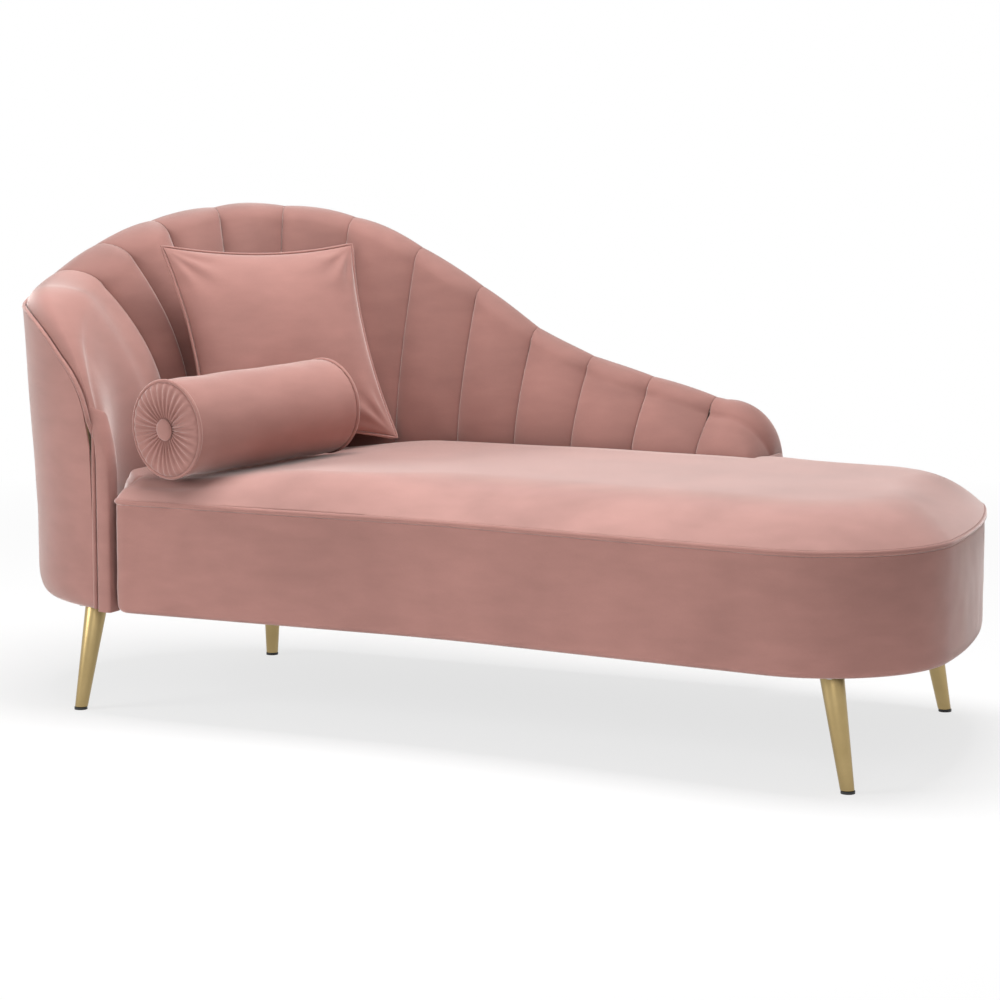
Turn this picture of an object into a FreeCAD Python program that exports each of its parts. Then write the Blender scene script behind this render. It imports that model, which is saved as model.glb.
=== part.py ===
# Upholstered chaise longue: a channelled back that wraps the head end and sweeps down along the rear,
# a crowned seat with a flared foot, four splayed tapered legs, a square pillow and a round bolster.
# Millimetres, +Z up, +X towards the foot of the seat, +Y towards the rear.
# The origin is on the floor, in the middle of the plan.
import FreeCAD, Part
import math
import os
from FreeCAD import Placement, Rotation, Vector

os.makedirs("parts", exist_ok=True)
doc = FreeCAD.newDocument("ChaiseLongue")

# Driving dimensions: alias, value, meaning
DIMENSIONS = [
    ("leg_height", 166, "floor to the underside of the upholstered base"),
    ("seat_welt_height", 346, "floor to the welt round the top of the seat"),
    ("seat_crown", 59, "rise of the seat's crown above its welt"),
    ("seat_crown_reach", 150, "how far in from an open edge the crown is full"),
    ("seat_pressed_reach", 14, "the same where the seat is pressed against the back"),
    ("press_x", -270, "where the seat starts to give way under the bolster and the pillow"),
    ("press_depth", 28, "how far it gives way"),
    ("seat_foot_x", 810, "centre to the foot end of the seat"),
    ("flare_angle", 7, "outward turn of the front towards the foot, degrees"),
    ("flare_radius", 1500, "radius of that turn"),
    ("front_corner_radius", 200, "foot corner at the front"),
    ("front_corner_y", 171, "centre line to that corner's centre"),
    ("foot_bow_radius", 1200, "bow of the foot end"),
    ("foot_bow_angle", 18.5, "turn of that bow, degrees"),
    ("rear_corner_radius", 180, "foot corner at the rear"),
    ("notch_corner_radius", 50, "outer corner of the step at the end of the back"),
    ("notch_inner_radius", 12, "inner corner of the step"),
    ("head_corner_radius", 230, "head corner of the seat at the rear"),
    ("head_side_radius", 80, "round of the seat's head side towards the front"),
    ("head_side_turn", 32, "turn of that round, degrees"),
    ("head_side_y", 134, "front welt to that round's centre, towards the rear"),
    ("head_nook_radius", 15, "inner corner behind the first channel's end"),
    ("head_front_radius", 25, "front corner of the seat at the head"),
    ("head_centre_x", 445, "centre to the middle of the head end's curve, towards the head"),
    ("head_centre_y", 30, "centre line to the middle of that curve, towards the rear"),
    ("head_radius_x", 370, "half length of the head end's curve"),
    ("head_radius_y", 340, "half depth of the head end's curve"),
    ("back_start_x", 559, "centre to the front welt of the back"),
    ("back_end_x", 362, "centre to the low end of the back"),
    ("back_nose", 32, "how far the first channel wraps past the front welt"),
    ("back_flare", 20, "outward lean of the back at two thirds of its height"),
    ("front_edge_height", 450, "height at which the front edge starts to sweep back"),
    ("front_sweep_length", 250, "length of that sweep along the plan"),
    ("end_round_length", 95, "length of the round at the low end of the back"),
    ("end_height", 400, "height at which that round meets the seat"),
    ("rear_padding", 112, "depth of the back along the rear, at the seat"),
    ("head_padding", 108, "what the head end's slope adds to that depth"),
    ("rear_roll", 60, "width of the padded roll on top, along the rear"),
    ("head_roll", 60, "what the head end adds to that width"),
    ("roll_drop", 36, "height of the padded roll"),
    ("channel_count", 13, "padded channels"),
    ("first_channel_share", 0.224, "share of the run that the first channel takes"),
    ("channel_bulge", 17, "how far a channel swells between its seams"),
    ("channel_pad", 36, "thickness of a channel's padding"),
    ("pad_bottom_height", 350, "lower edge of the channels, below the seat's crown"),
    ("seam_gap", 0.6, "two layers of cloth in each seam between channels"),
    ("clearance", 0.3, "gap left between pieces that touch in the real thing"),
    ("cover_thickness", 2.5, "velvet with its wadding"),
    ("shell_tuck", 16, "how far the lower edge of the back is tucked in"),
    ("shell_round", 45, "height over which it is tucked in"),
    ("rail_thickness", 22, "solid wood rails of the seat frame"),
    ("rail_height", 112, "height of the rails"),
    ("wadding", 9, "cover and wadding outside the rails"),
    ("spring_wire", 3.5, "side of the zigzag spring's wire"),
    ("spring_count", 5, "zigzag springs across the seat"),
    ("spring_half_width", 24, "half width of a zigzag spring"),
    ("spring_step", 42, "distance from one turn of a spring to the next"),
    ("spring_pad_thickness", 4, "felt between springs and foam"),
    ("dust_cover_thickness", 1, "cloth under the seat"),
    ("rib_thickness", 18, "plywood ribs of the back"),
    ("panel_thickness", 3, "hardboard outside the ribs"),
    ("liner_thickness", 4, "board behind the channels"),
    ("top_rail_thickness", 12, "bent plywood along the top of the back"),
    ("welt_radius", 4.5, "cloth-covered cord round the seat"),
    ("back_welt_radius", 3.6, "the same along the edge of the back"),
    ("leg_top_radius", 17.5, "tapered tube leg, at the top"),
    ("leg_bottom_radius", 10, "the same at the glide"),
    ("leg_wall", 1.5, "wall of the tube"),
    ("leg_splay", 12, "lean of every leg, degrees"),
    ("glide_height", 4, "plastic glide under a leg"),
    ("glide_radius", 10.5, "radius of that glide"),
    ("plate_size", 48, "side of a leg's fixing plate"),
    ("plate_thickness", 3.7, "steel of that plate"),
    ("stud_radius", 4, "threaded stud of a leg"),
    ("plate_screw_radius", 2.25, "wood screws of a plate"),
    ("plate_screw_spacing", 39, "distance between a plate's screws"),
    ("block_height", 40, "height of a corner block"),
    ("pillow_side", 345, "side of the square pillow, tip to tip"),
    ("pillow_depth", 104, "thickness of the pillow at its middle"),
    ("pillow_draw_in", 17, "how far its sides are drawn in between the tips"),
    ("pillow_welt_radius", 2.6, "piping round the pillow"),
    ("bolster_radius", 78, "radius of the bolster"),
    ("bolster_length", 352, "length of the bolster between its pipings"),
    ("bolster_welt_radius", 3, "piping at each end of the bolster"),
    ("bolster_button_radius", 15, "covered button in each end"),
    ("bolster_pleats", 20, "gathers of each end"),
]
sheet = doc.addObject("Spreadsheet::Sheet", "Sizes")
for row, (alias, value, meaning) in enumerate(DIMENSIONS, 1):
    sheet.set("A%d" % row, alias)
    sheet.set("B%d" % row, str(value))
    sheet.set("C%d" % row, meaning)
    sheet.setAlias("B%d" % row, alias)
doc.recompute()


class Sizes:
    """The sheet's cells, read by name."""

    def __getattr__(self, alias):
        return float(sheet.get(alias))


S = Sizes()
COLLECTED = []


def keep(obj, label):
    """Give a sub-part its name and put it on the list of pieces to write."""
    obj.Label = label
    COLLECTED.append(obj)
    return obj


def feature(label, shape, placement=None):
    """A sub-part whose shape is worked out here."""
    obj = doc.addObject("Part::Feature", label)
    obj.Shape = shape
    obj.Placement = placement or Placement()
    return keep(obj, label)


def outward(heading):
    """Unit vector to the right of a heading in degrees: outwards, on an anticlockwise outline."""
    h = math.radians(heading)
    return Vector(math.sin(h), -math.cos(h), 0)


# Plan and height of the back

def back_table():
    """Run along the outer curve of the back: distance from the front welt, point, outward normal."""
    centre = Vector(-S.head_centre_x, S.head_centre_y, 0)
    a, b = S.head_radius_x, S.head_radius_y
    welt_angle = -math.acos((-S.back_start_x + S.head_centre_x) / a)
    nose_angle = -math.acos((-S.back_start_x + 2 * S.back_nose + S.head_centre_x) / a)
    steps = 600
    rows = []
    for k in range(steps + 1):
        t = nose_angle + (-1.5 * math.pi - nose_angle) * k / steps
        point = centre + Vector(a * math.cos(t), b * math.sin(t), 0)
        normal = Vector(math.cos(t) / a, math.sin(t) / b, 0).normalize()
        rows.append((t, point, normal))
    run = 0.0
    table = []
    for k, (t, point, normal) in enumerate(rows):
        if k:
            run += (point - rows[k - 1][1]).Length
        table.append((run, point, normal))
    zero = min(zip(rows, table), key=lambda pair: abs(pair[0][0] - welt_angle))[1][0]
    table = [(s - zero, point, normal) for s, point, normal in table]
    last = table[-1]
    end = Vector(S.back_end_x, last[1].y, 0)
    table.append((last[0] + (end - last[1]).Length, end, Vector(0, 1, 0)))
    return table


BACK = back_table()
BACK_RUN = BACK[-1][0]


def outer_at(s):
    """Point and outward normal of the back's outer curve at a distance along it."""
    low, high = 0, len(BACK) - 1
    while high - low > 1:
        middle = (low + high) // 2
        if BACK[middle][0] <= s:
            low = middle
        else:
            high = middle
    s0, p0, n0 = BACK[low]
    s1, p1, n1 = BACK[high]
    share = (s - s0) / (s1 - s0)
    return p0 + (p1 - p0) * share, (n0 + (n1 - n0) * share).normalize()


BASE_Z = S.leg_height + 1
WOOD_Z = BASE_Z + S.cover_thickness + 2 * S.clearance

# Plan of the seat

def seat_rounds(inset):
    """Each round of the seat's plan, anticlockwise from the front: centre, signed radius, headings."""
    flare = math.radians(S.flare_angle)
    corner = Vector(S.seat_foot_x - S.front_corner_radius, -S.front_corner_y, 0)
    flare_end = corner + outward(-S.flare_angle) * S.front_corner_radius
    nose = outer_at(-S.back_nose)[0]
    front_y = nose.y - 1.5
    head_x = nose.x + S.welt_radius + 0.3
    side_x = -S.head_centre_x - S.head_radius_x + S.rear_padding + S.head_padding + S.channel_bulge + 5
    back_y = S.head_centre_y + S.head_radius_y - S.rear_padding - S.channel_bulge - 5
    notch_x = S.back_end_x + S.cover_thickness + 5
    kink_x = flare_end.x + (flare_end.y - front_y) / math.tan(flare)
    flare_x = kink_x - S.flare_radius * math.tan(flare / 2)
    bow = Vector(S.seat_foot_x - S.foot_bow_radius, -S.front_corner_y, 0)
    bow_end = 90 + S.foot_bow_angle
    rear = bow + outward(bow_end) * (S.foot_bow_radius - S.rear_corner_radius)
    rear_y = rear.y + S.rear_corner_radius
    side_out = outward(270 + S.head_side_turn)
    side = Vector(side_x + S.head_side_radius, outer_at(0)[0].y + S.head_side_y, 0)
    nook_x = head_x - S.head_nook_radius
    nook_line = side.dot(side_out) + S.head_side_radius + S.head_nook_radius
    nook = Vector(nook_x, (nook_line - nook_x * side_out.x) / side_out.y, 0)
    rounds = [
        (Vector(flare_x, front_y - S.flare_radius, 0), -S.flare_radius, 0, -S.flare_angle),
        (corner, S.front_corner_radius, -S.flare_angle, 90),
        (bow, S.foot_bow_radius, 90, bow_end),
        (rear, S.rear_corner_radius, bow_end, 180),
        (Vector(notch_x + S.notch_corner_radius, rear_y - S.notch_corner_radius, 0),
         S.notch_corner_radius, 180, 270),
        (Vector(notch_x - S.notch_inner_radius, back_y + S.notch_inner_radius, 0),
         -S.notch_inner_radius, 270, 180),
        (Vector(side_x + S.head_corner_radius, back_y - S.head_corner_radius, 0),
         S.head_corner_radius, 180, 270),
        (side, S.head_side_radius, 270, 270 + S.head_side_turn),
        (nook, -S.head_nook_radius, 270 + S.head_side_turn, 270),
        (Vector(head_x + S.head_front_radius, front_y + S.head_front_radius, 0),
         S.head_front_radius, 270, 360),
    ]
    least = 1.0
    result = []
    for centre, radius, start, end in rounds:
        reduced = radius - inset
        if radius > 0 and reduced < least:
            centre = centre - (outward(start) + outward(end)) * (least - reduced)
            reduced = least
        result.append((centre, reduced, start, end))
    return result


# Places of the rounds in that list
FLARE, FRONT_CORNER, FOOT_BOW, REAR_CORNER, NOTCH_CORNER, NOTCH_INNER = range(6)
HEAD_CORNER, HEAD_SIDE, HEAD_NOOK, HEAD_FRONT = range(6, 10)


def seat_curves(inset, z=0.0, first=FLARE, last=HEAD_FRONT, closing=True):
    """Arcs of the plan from one round to another, with the straight edges between them."""
    rounds = seat_rounds(inset)
    lift = Vector(0, 0, z)
    curves = []
    for i in range(first, last + 1):
        centre, radius, start, end = rounds[i]
        a, b, c = (centre + outward(h) * radius + lift for h in (start, (start + end) / 2, end))
        curves.append(Part.Arc(a, b, c))
        following = rounds[(i + 1) % len(rounds)]
        d = following[0] + outward(following[2]) * following[1] + lift
        if (i < last or closing) and (d - c).Length > 1e-6:
            curves.append(Part.LineSegment(c, d))
    return curves


def seat_face(inset, z):
    return Part.Face(Part.Wire([c.toShape() for c in seat_curves(inset, z)]))


def seat_points(first=FLARE, last=HEAD_FRONT, inset=0.0):
    """Points along the seat's plan, each with its outward direction and the reach of the crown."""
    rounds = seat_rounds(inset)
    points = []
    for i in range(first, last + 1):
        centre, radius, start, end = rounds[i]
        reach = S.seat_crown_reach
        if i in (NOTCH_INNER, HEAD_CORNER, HEAD_SIDE, HEAD_NOOK):
            reach = S.seat_pressed_reach
        if i in (NOTCH_CORNER, HEAD_FRONT):
            reach = 0.5 * S.seat_crown_reach
        sag_step = math.degrees(2 * math.acos(1 - 1.1 / max(abs(radius), 6)))
        turns = max(2, round(abs(end - start) / sag_step))
        for k in range(turns + 1):
            heading = start + (end - start) * k / turns
            spot = centre + outward(heading) * radius
            if not points or (spot - points[-1][0]).Length > 0.5:
                points.append((spot, outward(heading), reach))
        centre, radius, start, _ = rounds[(i + 1) % len(rounds)]
        here = points[-1][0]
        target = centre + outward(start) * radius
        pieces = max(1, round((target - here).Length / 180))
        if i < last or first == FLARE and last == HEAD_FRONT:
            for k in range(1, pieces):
                points.append((here + (target - here) * (k / pieces), points[-1][1], reach))
    if last - first == 9:
        for _ in range(5):
            reaches = [reach for _, _, reach in points]
            points = [(p, out, (reaches[k - 1] + 2 * reaches[k] + reaches[(k + 1) % len(points)]) / 4)
                      for k, (p, out, _) in enumerate(points)]
    return points


def closed_polygon(points):
    return Part.makePolygon(points + [points[0]])


def flat(points):
    """Whether a loop of points lies in one plane."""
    normal = Vector()
    for k, point in enumerate(points):
        normal += point.cross(points[(k + 1) % len(points)])
    if normal.Length < 1e-9:
        return True
    normal.normalize()
    return all(abs((point - points[0]).dot(normal)) < 1e-7 for point in points)


def end_faces(ring):
    """Faces that close one end of a skinned solid."""
    if flat(ring):
        return [Part.Face(closed_polygon(ring))]
    plan = [Vector(p.x, p.y, 0) for p in ring]
    corners, triangles = Part.Face(closed_polygon(plan)).tessellate(10)
    match = [min(range(len(ring)), key=lambda k: (plan[k] - corner).Length) for corner in corners]
    return [Part.Face(closed_polygon([ring[match[k]] for k in triangle])) for triangle in triangles]


def skinned(rings, closed=False):
    """A solid of plane facets through rings that have the same number of points."""
    faces = []
    pairs = list(zip(rings, rings[1:] + rings[:1])) if closed else list(zip(rings, rings[1:]))
    for low, high in pairs:
        for k in range(len(low)):
            n = (k + 1) % len(low)
            a, b, c, d = low[k], low[n], high[n], high[k]
            if flat([a, b, c, d]):
                faces.append(Part.Face(closed_polygon([a, b, c, d])))
            elif (a - c).Length <= (b - d).Length:
                faces.append(Part.Face(closed_polygon([a, b, c])))
                faces.append(Part.Face(closed_polygon([a, c, d])))
            else:
                faces.append(Part.Face(closed_polygon([a, b, d])))
                faces.append(Part.Face(closed_polygon([b, c, d])))
    if not closed:
        faces += end_faces(rings[0]) + end_faces(rings[-1])
    shell = Part.Shell(faces)
    shell.sewShape()
    if shell.ShapeType != "Shell":
        shell = shell.Shells[0]
    solid = Part.Solid(shell)
    if solid.Volume < 0:
        solid.reverse()
    return solid


def crown_ring(share, inset, drop):
    """A closed ring of the seat's dome: full width at share 0, the flat middle at share 1."""
    spine = (-S.back_start_x + 190, S.seat_foot_x - 250, -25)
    sill = S.seat_welt_height + S.welt_radius + S.clearance
    rise = S.seat_welt_height + S.seat_crown - sill
    height = sill + rise * (1 - (1 - min(share, 1.0)) ** 2.2) - drop
    ring = []
    for point, out, reach in seat_points():
        middle = Vector(min(max(point.x, spine[0]), spine[1]), spine[2], 0)
        inwards = (middle - point).normalize()
        moved = point - out * inset + inwards * (min(share, 1.0) * reach)
        if share > 1.0:
            moved = moved + (middle - moved) * (share - 1.0)
        pressed = max(0.0, min(1.0, (S.press_x - moved.x) / 130))
        fall = S.press_depth * pressed * pressed * (3 - 2 * pressed) * min(1.0, share * 2)
        ring.append(Vector(moved.x, moved.y, height - fall))
    return ring


# Crest of the back: share of the run, height
CREST = [(0.138, 668), (0.224, 690), (0.299, 738), (0.362, 771), (0.455, 792), (0.576, 764),
         (0.686, 669), (0.764, 582), (0.822, 540), (0.884, 510), (0.948, 480), (1.0, 455)]


def crest_curve(share):
    """Smooth height through the stations of the crest."""
    k = max(i for i, (at, _) in enumerate(CREST[:-1]) if at <= max(share, CREST[0][0]))

    def slope(i):
        i0, i1 = max(i - 1, 0), min(i + 1, len(CREST) - 1)
        return (CREST[i1][1] - CREST[i0][1]) / (CREST[i1][0] - CREST[i0][0])

    (x0, y0), (x1, y1) = CREST[k], CREST[k + 1]
    span = x1 - x0
    t = (share - x0) / span
    m0 = (0.0 if k == 0 else slope(k)) * span
    m1 = slope(k + 1) * span
    return (y0 * (1 + 2 * t) * (1 - t) ** 2 + m0 * t * (1 - t) ** 2
            + y1 * t * t * (3 - 2 * t) + m1 * t * t * (t - 1))


def crest(s):
    """Height of the back's top at a distance along its run."""
    if s < 0:
        return S.front_edge_height - 20 * (s / S.back_nose) ** 2
    if s < S.front_sweep_length:
        start = crest_curve(S.front_sweep_length / BACK_RUN)
        left = 1 - s / S.front_sweep_length
        return S.front_edge_height + (start - S.front_edge_height) * math.sqrt(1 - left * left)
    round_start = BACK_RUN - S.end_round_length
    if s <= round_start:
        return crest_curve(s / BACK_RUN)
    top = crest_curve(round_start / BACK_RUN)
    done = min(1.0, (s - round_start) / S.end_round_length)
    return S.end_height + (top - S.end_height) * math.sqrt(1 - done * done)


def swell(share, centre, width):
    """A smooth hump of height 1."""
    x = max(-1.0, min(1.0, (share - centre) / width))
    return 0.5 * (1 + math.cos(math.pi * x))


def front_taper(s):
    """The back thins towards its front edge."""
    x = max(0.0, min(1.0, (max(s, 0.0) + S.back_nose) / 250))
    return 0.10 + 0.90 * math.sin(0.5 * math.pi * x)


def padding(s):
    """Depth of the back at the seat."""
    return front_taper(s) * (S.rear_padding + S.head_padding * swell(s / BACK_RUN, 0.30, 0.36))


def roll_width(s):
    """Width of the padded roll on top."""
    return max(24.0, front_taper(s) * (S.rear_roll + S.head_roll * swell(s / BACK_RUN, 0.30, 0.36)))


LEAN_START = 300


def lean(z):
    """How far the outside stands out at a height."""
    return S.back_flare * max(0.0, (z - LEAN_START) / 360)


def section_frame(s):
    """Outer point at a distance along the back and the inward vector that one unit of depth moves."""
    point, normal = outer_at(s)
    if s < 0:
        ahead = section_frame(0.0)[1]
        return point, (ahead * (1 + s / S.back_nose) + Vector(0, -s / S.back_nose, 0)).normalize()
    fan = 30 * swell(s / BACK_RUN, 0.46, 0.20)
    low = s if s > BACK_RUN else min(s + fan, BACK_RUN)
    low_point, low_normal = outer_at(low)
    inner = low_point - low_normal * padding(low)
    return point, (inner - point) * (1.0 / padding(s))


def placed(s, pairs):
    """Depth and height pairs of a section, as points in space."""
    point, inwards = section_frame(s)
    return [point + inwards * depth + Vector(0, 0, z) for depth, z in pairs]


def roll_sizes(s):
    """Top, width, outside depth, inner end of the welt's seat, drop and underside of the roll."""
    top, width = crest(s), roll_width(s)
    out = -lean(top)
    drop = S.roll_drop * min(1.0, width / 45)
    welt_side = out + 2 * S.back_welt_radius + 3 * S.clearance
    return top, width, out, welt_side, drop, top - 0.8 * drop - 5


def face_path(s, bulge, bottom):
    """Visible side of a channel, from the welt over the roll and down: depth and height pairs."""
    top, width, out, welt_side, drop, _ = roll_sizes(s)
    middle = max(out + 0.42 * width, welt_side + 1.5)
    path = []
    for angle in (-90, -45, -10, 20, 48, 75):
        a = math.radians(angle)
        if angle < 0:
            depth = welt_side + (middle - welt_side) * (1 + math.sin(a))
            height = top - 0.8 * drop * (1 - math.cos(a))
        else:
            depth = middle + (out + 1.02 * width - middle) * math.sin(a)
            height = top - drop * (1 - math.cos(a))
        swollen = bulge * (1 + math.sin(a)) / 2
        path.append((depth + swollen * max(0.0, math.sin(a)), height + 0.35 * swollen))
    roll_depth, roll_height = path[-1]
    roll_depth -= bulge
    slope_height = max(roll_height - S.end_height + 5, 30)
    for share in (0.20, 0.46, 0.73, 1.0):
        z = roll_height + (bottom - roll_height) * share
        done = min(1.0, (roll_height - z) / slope_height)
        path.append((roll_depth + (padding(s) - roll_depth) * (1 - (1 - done) ** 1.5) + bulge, z))
    return path


def hidden_side(s, bottom, behind=0.0):
    """Hidden side of a channel's padding, from the bottom up: depth and height pairs."""
    top, width, out, _, _, under = roll_sizes(s)
    pad = S.channel_pad * front_taper(s)
    path = [(d - pad - behind, z) for d, z in reversed(face_path(s, 0.0, bottom)[6:])]
    return path + [(out + width - 0.80 * pad - behind, under)]


def nose_path(s, groove):
    """End of the first channel, past the front welt, as one closed section."""
    top, depth = crest(s), padding(0)
    path = []
    for angle in (-90, -45, -10, 20, 48, 75):
        a = math.radians(angle)
        outside = max(groove, 0.0)
        path.append((outside + (depth - outside) / 2 * (1 + math.sin(a)), top - 16 * (1 - math.cos(a))))
    for share in (0.20, 0.46, 0.73, 1.0):
        path.append((depth, top - 16 + (BASE_Z - top + 16) * share))
    for share in (0.0, 0.25, 0.5, 0.75, 0.92, 0.99):
        path.append((groove, BASE_Z + (top - 20 - BASE_Z) * share))
    return path


def seams():
    """Distances along the run of the seams between the channels."""
    first = S.first_channel_share * BACK_RUN
    count = int(S.channel_count) - 1
    weights = [1.0 + 0.18 * swell(k / count, 0.36, 0.30) - 0.10 * swell(k / count, 0.60, 0.25)
               for k in range(count)]
    scale = (BACK_RUN - first) / sum(weights)
    result = [-S.back_nose, first]
    for weight in weights:
        result.append(result[-1] + weight * scale)
    return result


def channel_section(s, bulge, bottom):
    _, _, _, welt_side, _, under = roll_sizes(s)
    return face_path(s, bulge, bottom) + hidden_side(s, bottom) + [(welt_side, under)]


def channel(start, end):
    """One padded channel between two seams; the first one also wraps the front edge."""
    half = S.seam_gap / 2
    start, end = start + half, end - half
    wires = []
    first = start < 0
    if first:
        for s, groove in ((start, 0.0), (-24, -1.0), (-14, -1.2), (-6.2, 0.0), (-5.6, 5.2), (-1, 6.0)):
            wires.append(placed(s, nose_path(s, groove)))
        start = 5.0
        stations = [start] + [s for s in STATIONS if 5 < s < end - 1] + [end]
    else:
        stations = [start + (end - start) * share for share in (0.0, 0.10, 0.28, 0.50, 0.72, 0.90, 1.0)]
        if end > BACK_RUN - 1:
            stations = stations[:2] + [s for s in STATIONS if start + 14 < s < end - 1] + [end]
    for s in stations:
        bulge = S.channel_bulge * math.sin(math.pi * (s - start) / (end - start)) ** 0.7 * front_taper(s)
        bottom = BASE_Z if s == 5.0 else S.pad_bottom_height
        wires.append(placed(s, channel_section(s, bulge, bottom)))
    return skinned(wires)


def strip(stations, section):
    """A long piece that follows the back, skinned over one closed section at each station."""
    return skinned([placed(s, section(s)) for s in stations])


def spread(start, end, count):
    return [start + (end - start) * k / count for k in range(count + 1)]


# Stations along the back that its long pieces share
SEAMS = seams()
LONG = [7, 14, 24, 38, 56, 80, 110, 150, 200, 255, 310, 360]
for low, high in zip(SEAMS[1:], SEAMS[2:]):
    LONG += [low, low + 0.28 * (high - low), low + 0.72 * (high - low)]
LONG = [s for s in LONG if s < BACK_RUN - 105]
TAIL = [BACK_RUN - c for c in (95, 70, 48, 30, 16, 7)]
STATIONS = LONG + TAIL

# Bodies made from sketches

def plane_of(body, role):
    return [f for f in body.Origin.OriginFeatures if f.Role == role][0]


def flat_body(label, loops, height_alias, z_expression):
    """A body padded upwards from closed loops of curves drawn flat."""
    body = doc.addObject("PartDesign::Body", label)
    sketch = body.newObject("Sketcher::SketchObject", label + "_plan")
    sketch.AttachmentSupport = (plane_of(body, "XY_Plane"), [""])
    sketch.MapMode = "FlatFace"
    for loop in loops:
        for curve in loop:
            sketch.addGeometry(curve, False)
    sketch.setExpression(".AttachmentOffset.Base.z", z_expression)
    pad = body.newObject("PartDesign::Pad", label + "_pad")
    pad.Profile = sketch
    pad.setExpression("Length", height_alias)
    sketch.Visibility = False
    return keep(body, label)


def rectangle(x0, y0, x1, y1):
    corners = [Vector(x0, y0, 0), Vector(x1, y0, 0), Vector(x1, y1, 0), Vector(x0, y1, 0)]
    return [Part.LineSegment(corners[i], corners[(i + 1) % 4]) for i in range(4)]


def circle(x, y, radius):
    return [Part.Circle(Vector(x, y, 0), Vector(0, 0, 1), radius)]


# Legs: name, glide on the floor, direction in which the leg leans out, in degrees
LEGS = [
    ("front_left", -604.5, -271.5, 250),
    ("rear_left", -559, 280, 122),
    ("front_right", 707, -321, -26),
    ("rear_right", 667, 296, 42),
]


def leg_axis(x, y, direction):
    """Unit vector up a leg, and the point where its axis meets the base."""
    tilt = math.radians(S.leg_splay)
    a = math.radians(direction)
    up = Vector(-math.sin(tilt) * math.cos(a), -math.sin(tilt) * math.sin(a), math.cos(tilt))
    foot = Vector(x, y, 0)
    return up, foot + up * (S.leg_height / up.z)


WOOD_LEVEL = "Sizes.leg_height + 1 + Sizes.cover_thickness + 2 * Sizes.clearance"
RAIL_TOP = WOOD_Z + S.rail_height


def straight(first, inset, gap=0.4):
    """The straight edge of the plan after a round, kept a little short at both ends."""
    rounds = seat_rounds(inset)
    centre, radius, _, heading = rounds[first]
    a = centre + outward(heading) * radius
    centre, radius, heading, _ = rounds[(first + 1) % len(rounds)]
    b = centre + outward(heading) * radius
    along = (b - a).normalize() * gap
    return [Part.LineSegment(a + along, b - along)]


def rail(label, first, last, lead=False, follow=False):
    """A rail of the seat frame along the plan's rounds, with the straight edges before and after."""
    sides = []
    for inset in (S.wadding, S.wadding + S.rail_thickness):
        side = straight((first - 1) % 10, inset) if lead else []
        if side and last >= first:
            end = seat_curves(inset, 0, first, first)[0].StartPoint
            side.append(Part.LineSegment(side[0].EndPoint, end))
        if last >= first:
            side += seat_curves(inset, 0, first, last, False)
        if follow:
            after = straight(last, inset)
            side.append(Part.LineSegment(side[-1].EndPoint, after[0].EndPoint))
        sides.append(side)
    outer, inner = sides
    ends = [Part.LineSegment(outer[-1].EndPoint, inner[-1].EndPoint),
            Part.LineSegment(inner[0].StartPoint, outer[0].StartPoint)]
    return flat_body(label, [outer + inner + ends], "Sizes.rail_height", WOOD_LEVEL)


# Seat frame: rails that follow the plan
rail("seat_rail_front", FLARE, FLARE, lead=True, follow=True)
rail("seat_rail_foot", FRONT_CORNER, REAR_CORNER, follow=True)
rail("seat_rail_notch", NOTCH_CORNER, NOTCH_INNER)
rail("seat_rail_rear", HEAD_CORNER, HEAD_CORNER - 1, lead=True)
rail("seat_rail_head", HEAD_CORNER, HEAD_FRONT)

# Cross rails, low enough for the springs to move
inner_front = seat_rounds(S.wadding + S.rail_thickness + S.clearance)[FLARE]
inner_rear = seat_rounds(S.wadding + S.rail_thickness + S.clearance)[HEAD_CORNER]
front_limit = inner_front[0].y - inner_front[1]
rear_limit = inner_rear[0].y + inner_rear[1]
for label, x in (("seat_cross_rail_head", -190), ("seat_cross_rail_foot", 110)):
    box = doc.addObject("Part::Box", label)
    box.setExpression("Length", "Sizes.rail_thickness")
    box.Width = rear_limit - front_limit
    box.setExpression("Height", "Sizes.rail_height * 0.6")
    box.Placement = Placement(Vector(x, front_limit, WOOD_Z), Rotation())
    keep(box, label)


def polygon_body(label, points, height, level):
    loop = [Part.LineSegment(points[i], points[(i + 1) % len(points)]) for i in range(len(points))]
    return flat_body(label, [loop], height, level)


def behind_rail(s):
    """Point just inside the back's bottom rail."""
    point, normal = outer_at(s)
    return point - normal * (S.shell_tuck + S.cover_thickness + S.rail_thickness + 1.1)


def leg_place(leg):
    """Direction up a leg and the point where its axis meets the plate."""
    _, x, y, direction = leg
    tilt = math.radians(S.leg_splay)
    a = math.radians(direction)
    up = Vector(-math.sin(tilt) * math.cos(a), -math.sin(tilt) * math.sin(a), math.cos(tilt))
    return up, Vector(x, y, 0) + up * (S.leg_height / up.z)


# Blocks over the legs: two in the foot's corners, two between the back and the seat
for leg, corner, first, last in ((LEGS[2], FRONT_CORNER, -8, 58), (LEGS[3], REAR_CORNER, 108.5, 172)):
    name = leg[0]
    centre, radius, _, _ = seat_rounds(S.wadding + S.rail_thickness + S.clearance)[corner]
    inwards = leg_place(leg)[0]
    inwards = Vector(inwards.x, inwards.y, 0).normalize() * 52
    a, b, c = (centre + outward(h) * radius for h in (first, (first + last) / 2, last))
    loop = [Part.Arc(a, b, c), Part.LineSegment(c, c + inwards),
            Part.LineSegment(c + inwards, a + inwards), Part.LineSegment(a + inwards, a)]
    flat_body("leg_block_" + name, [loop], "Sizes.block_height", WOOD_LEVEL)
outside = seat_rounds(S.wadding - 3)
side_point = outside[HEAD_SIDE][0] + outward(300) * outside[HEAD_SIDE][1]
nook_point = outside[HEAD_NOOK][0] + outward(300) * outside[HEAD_NOOK][1]
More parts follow.
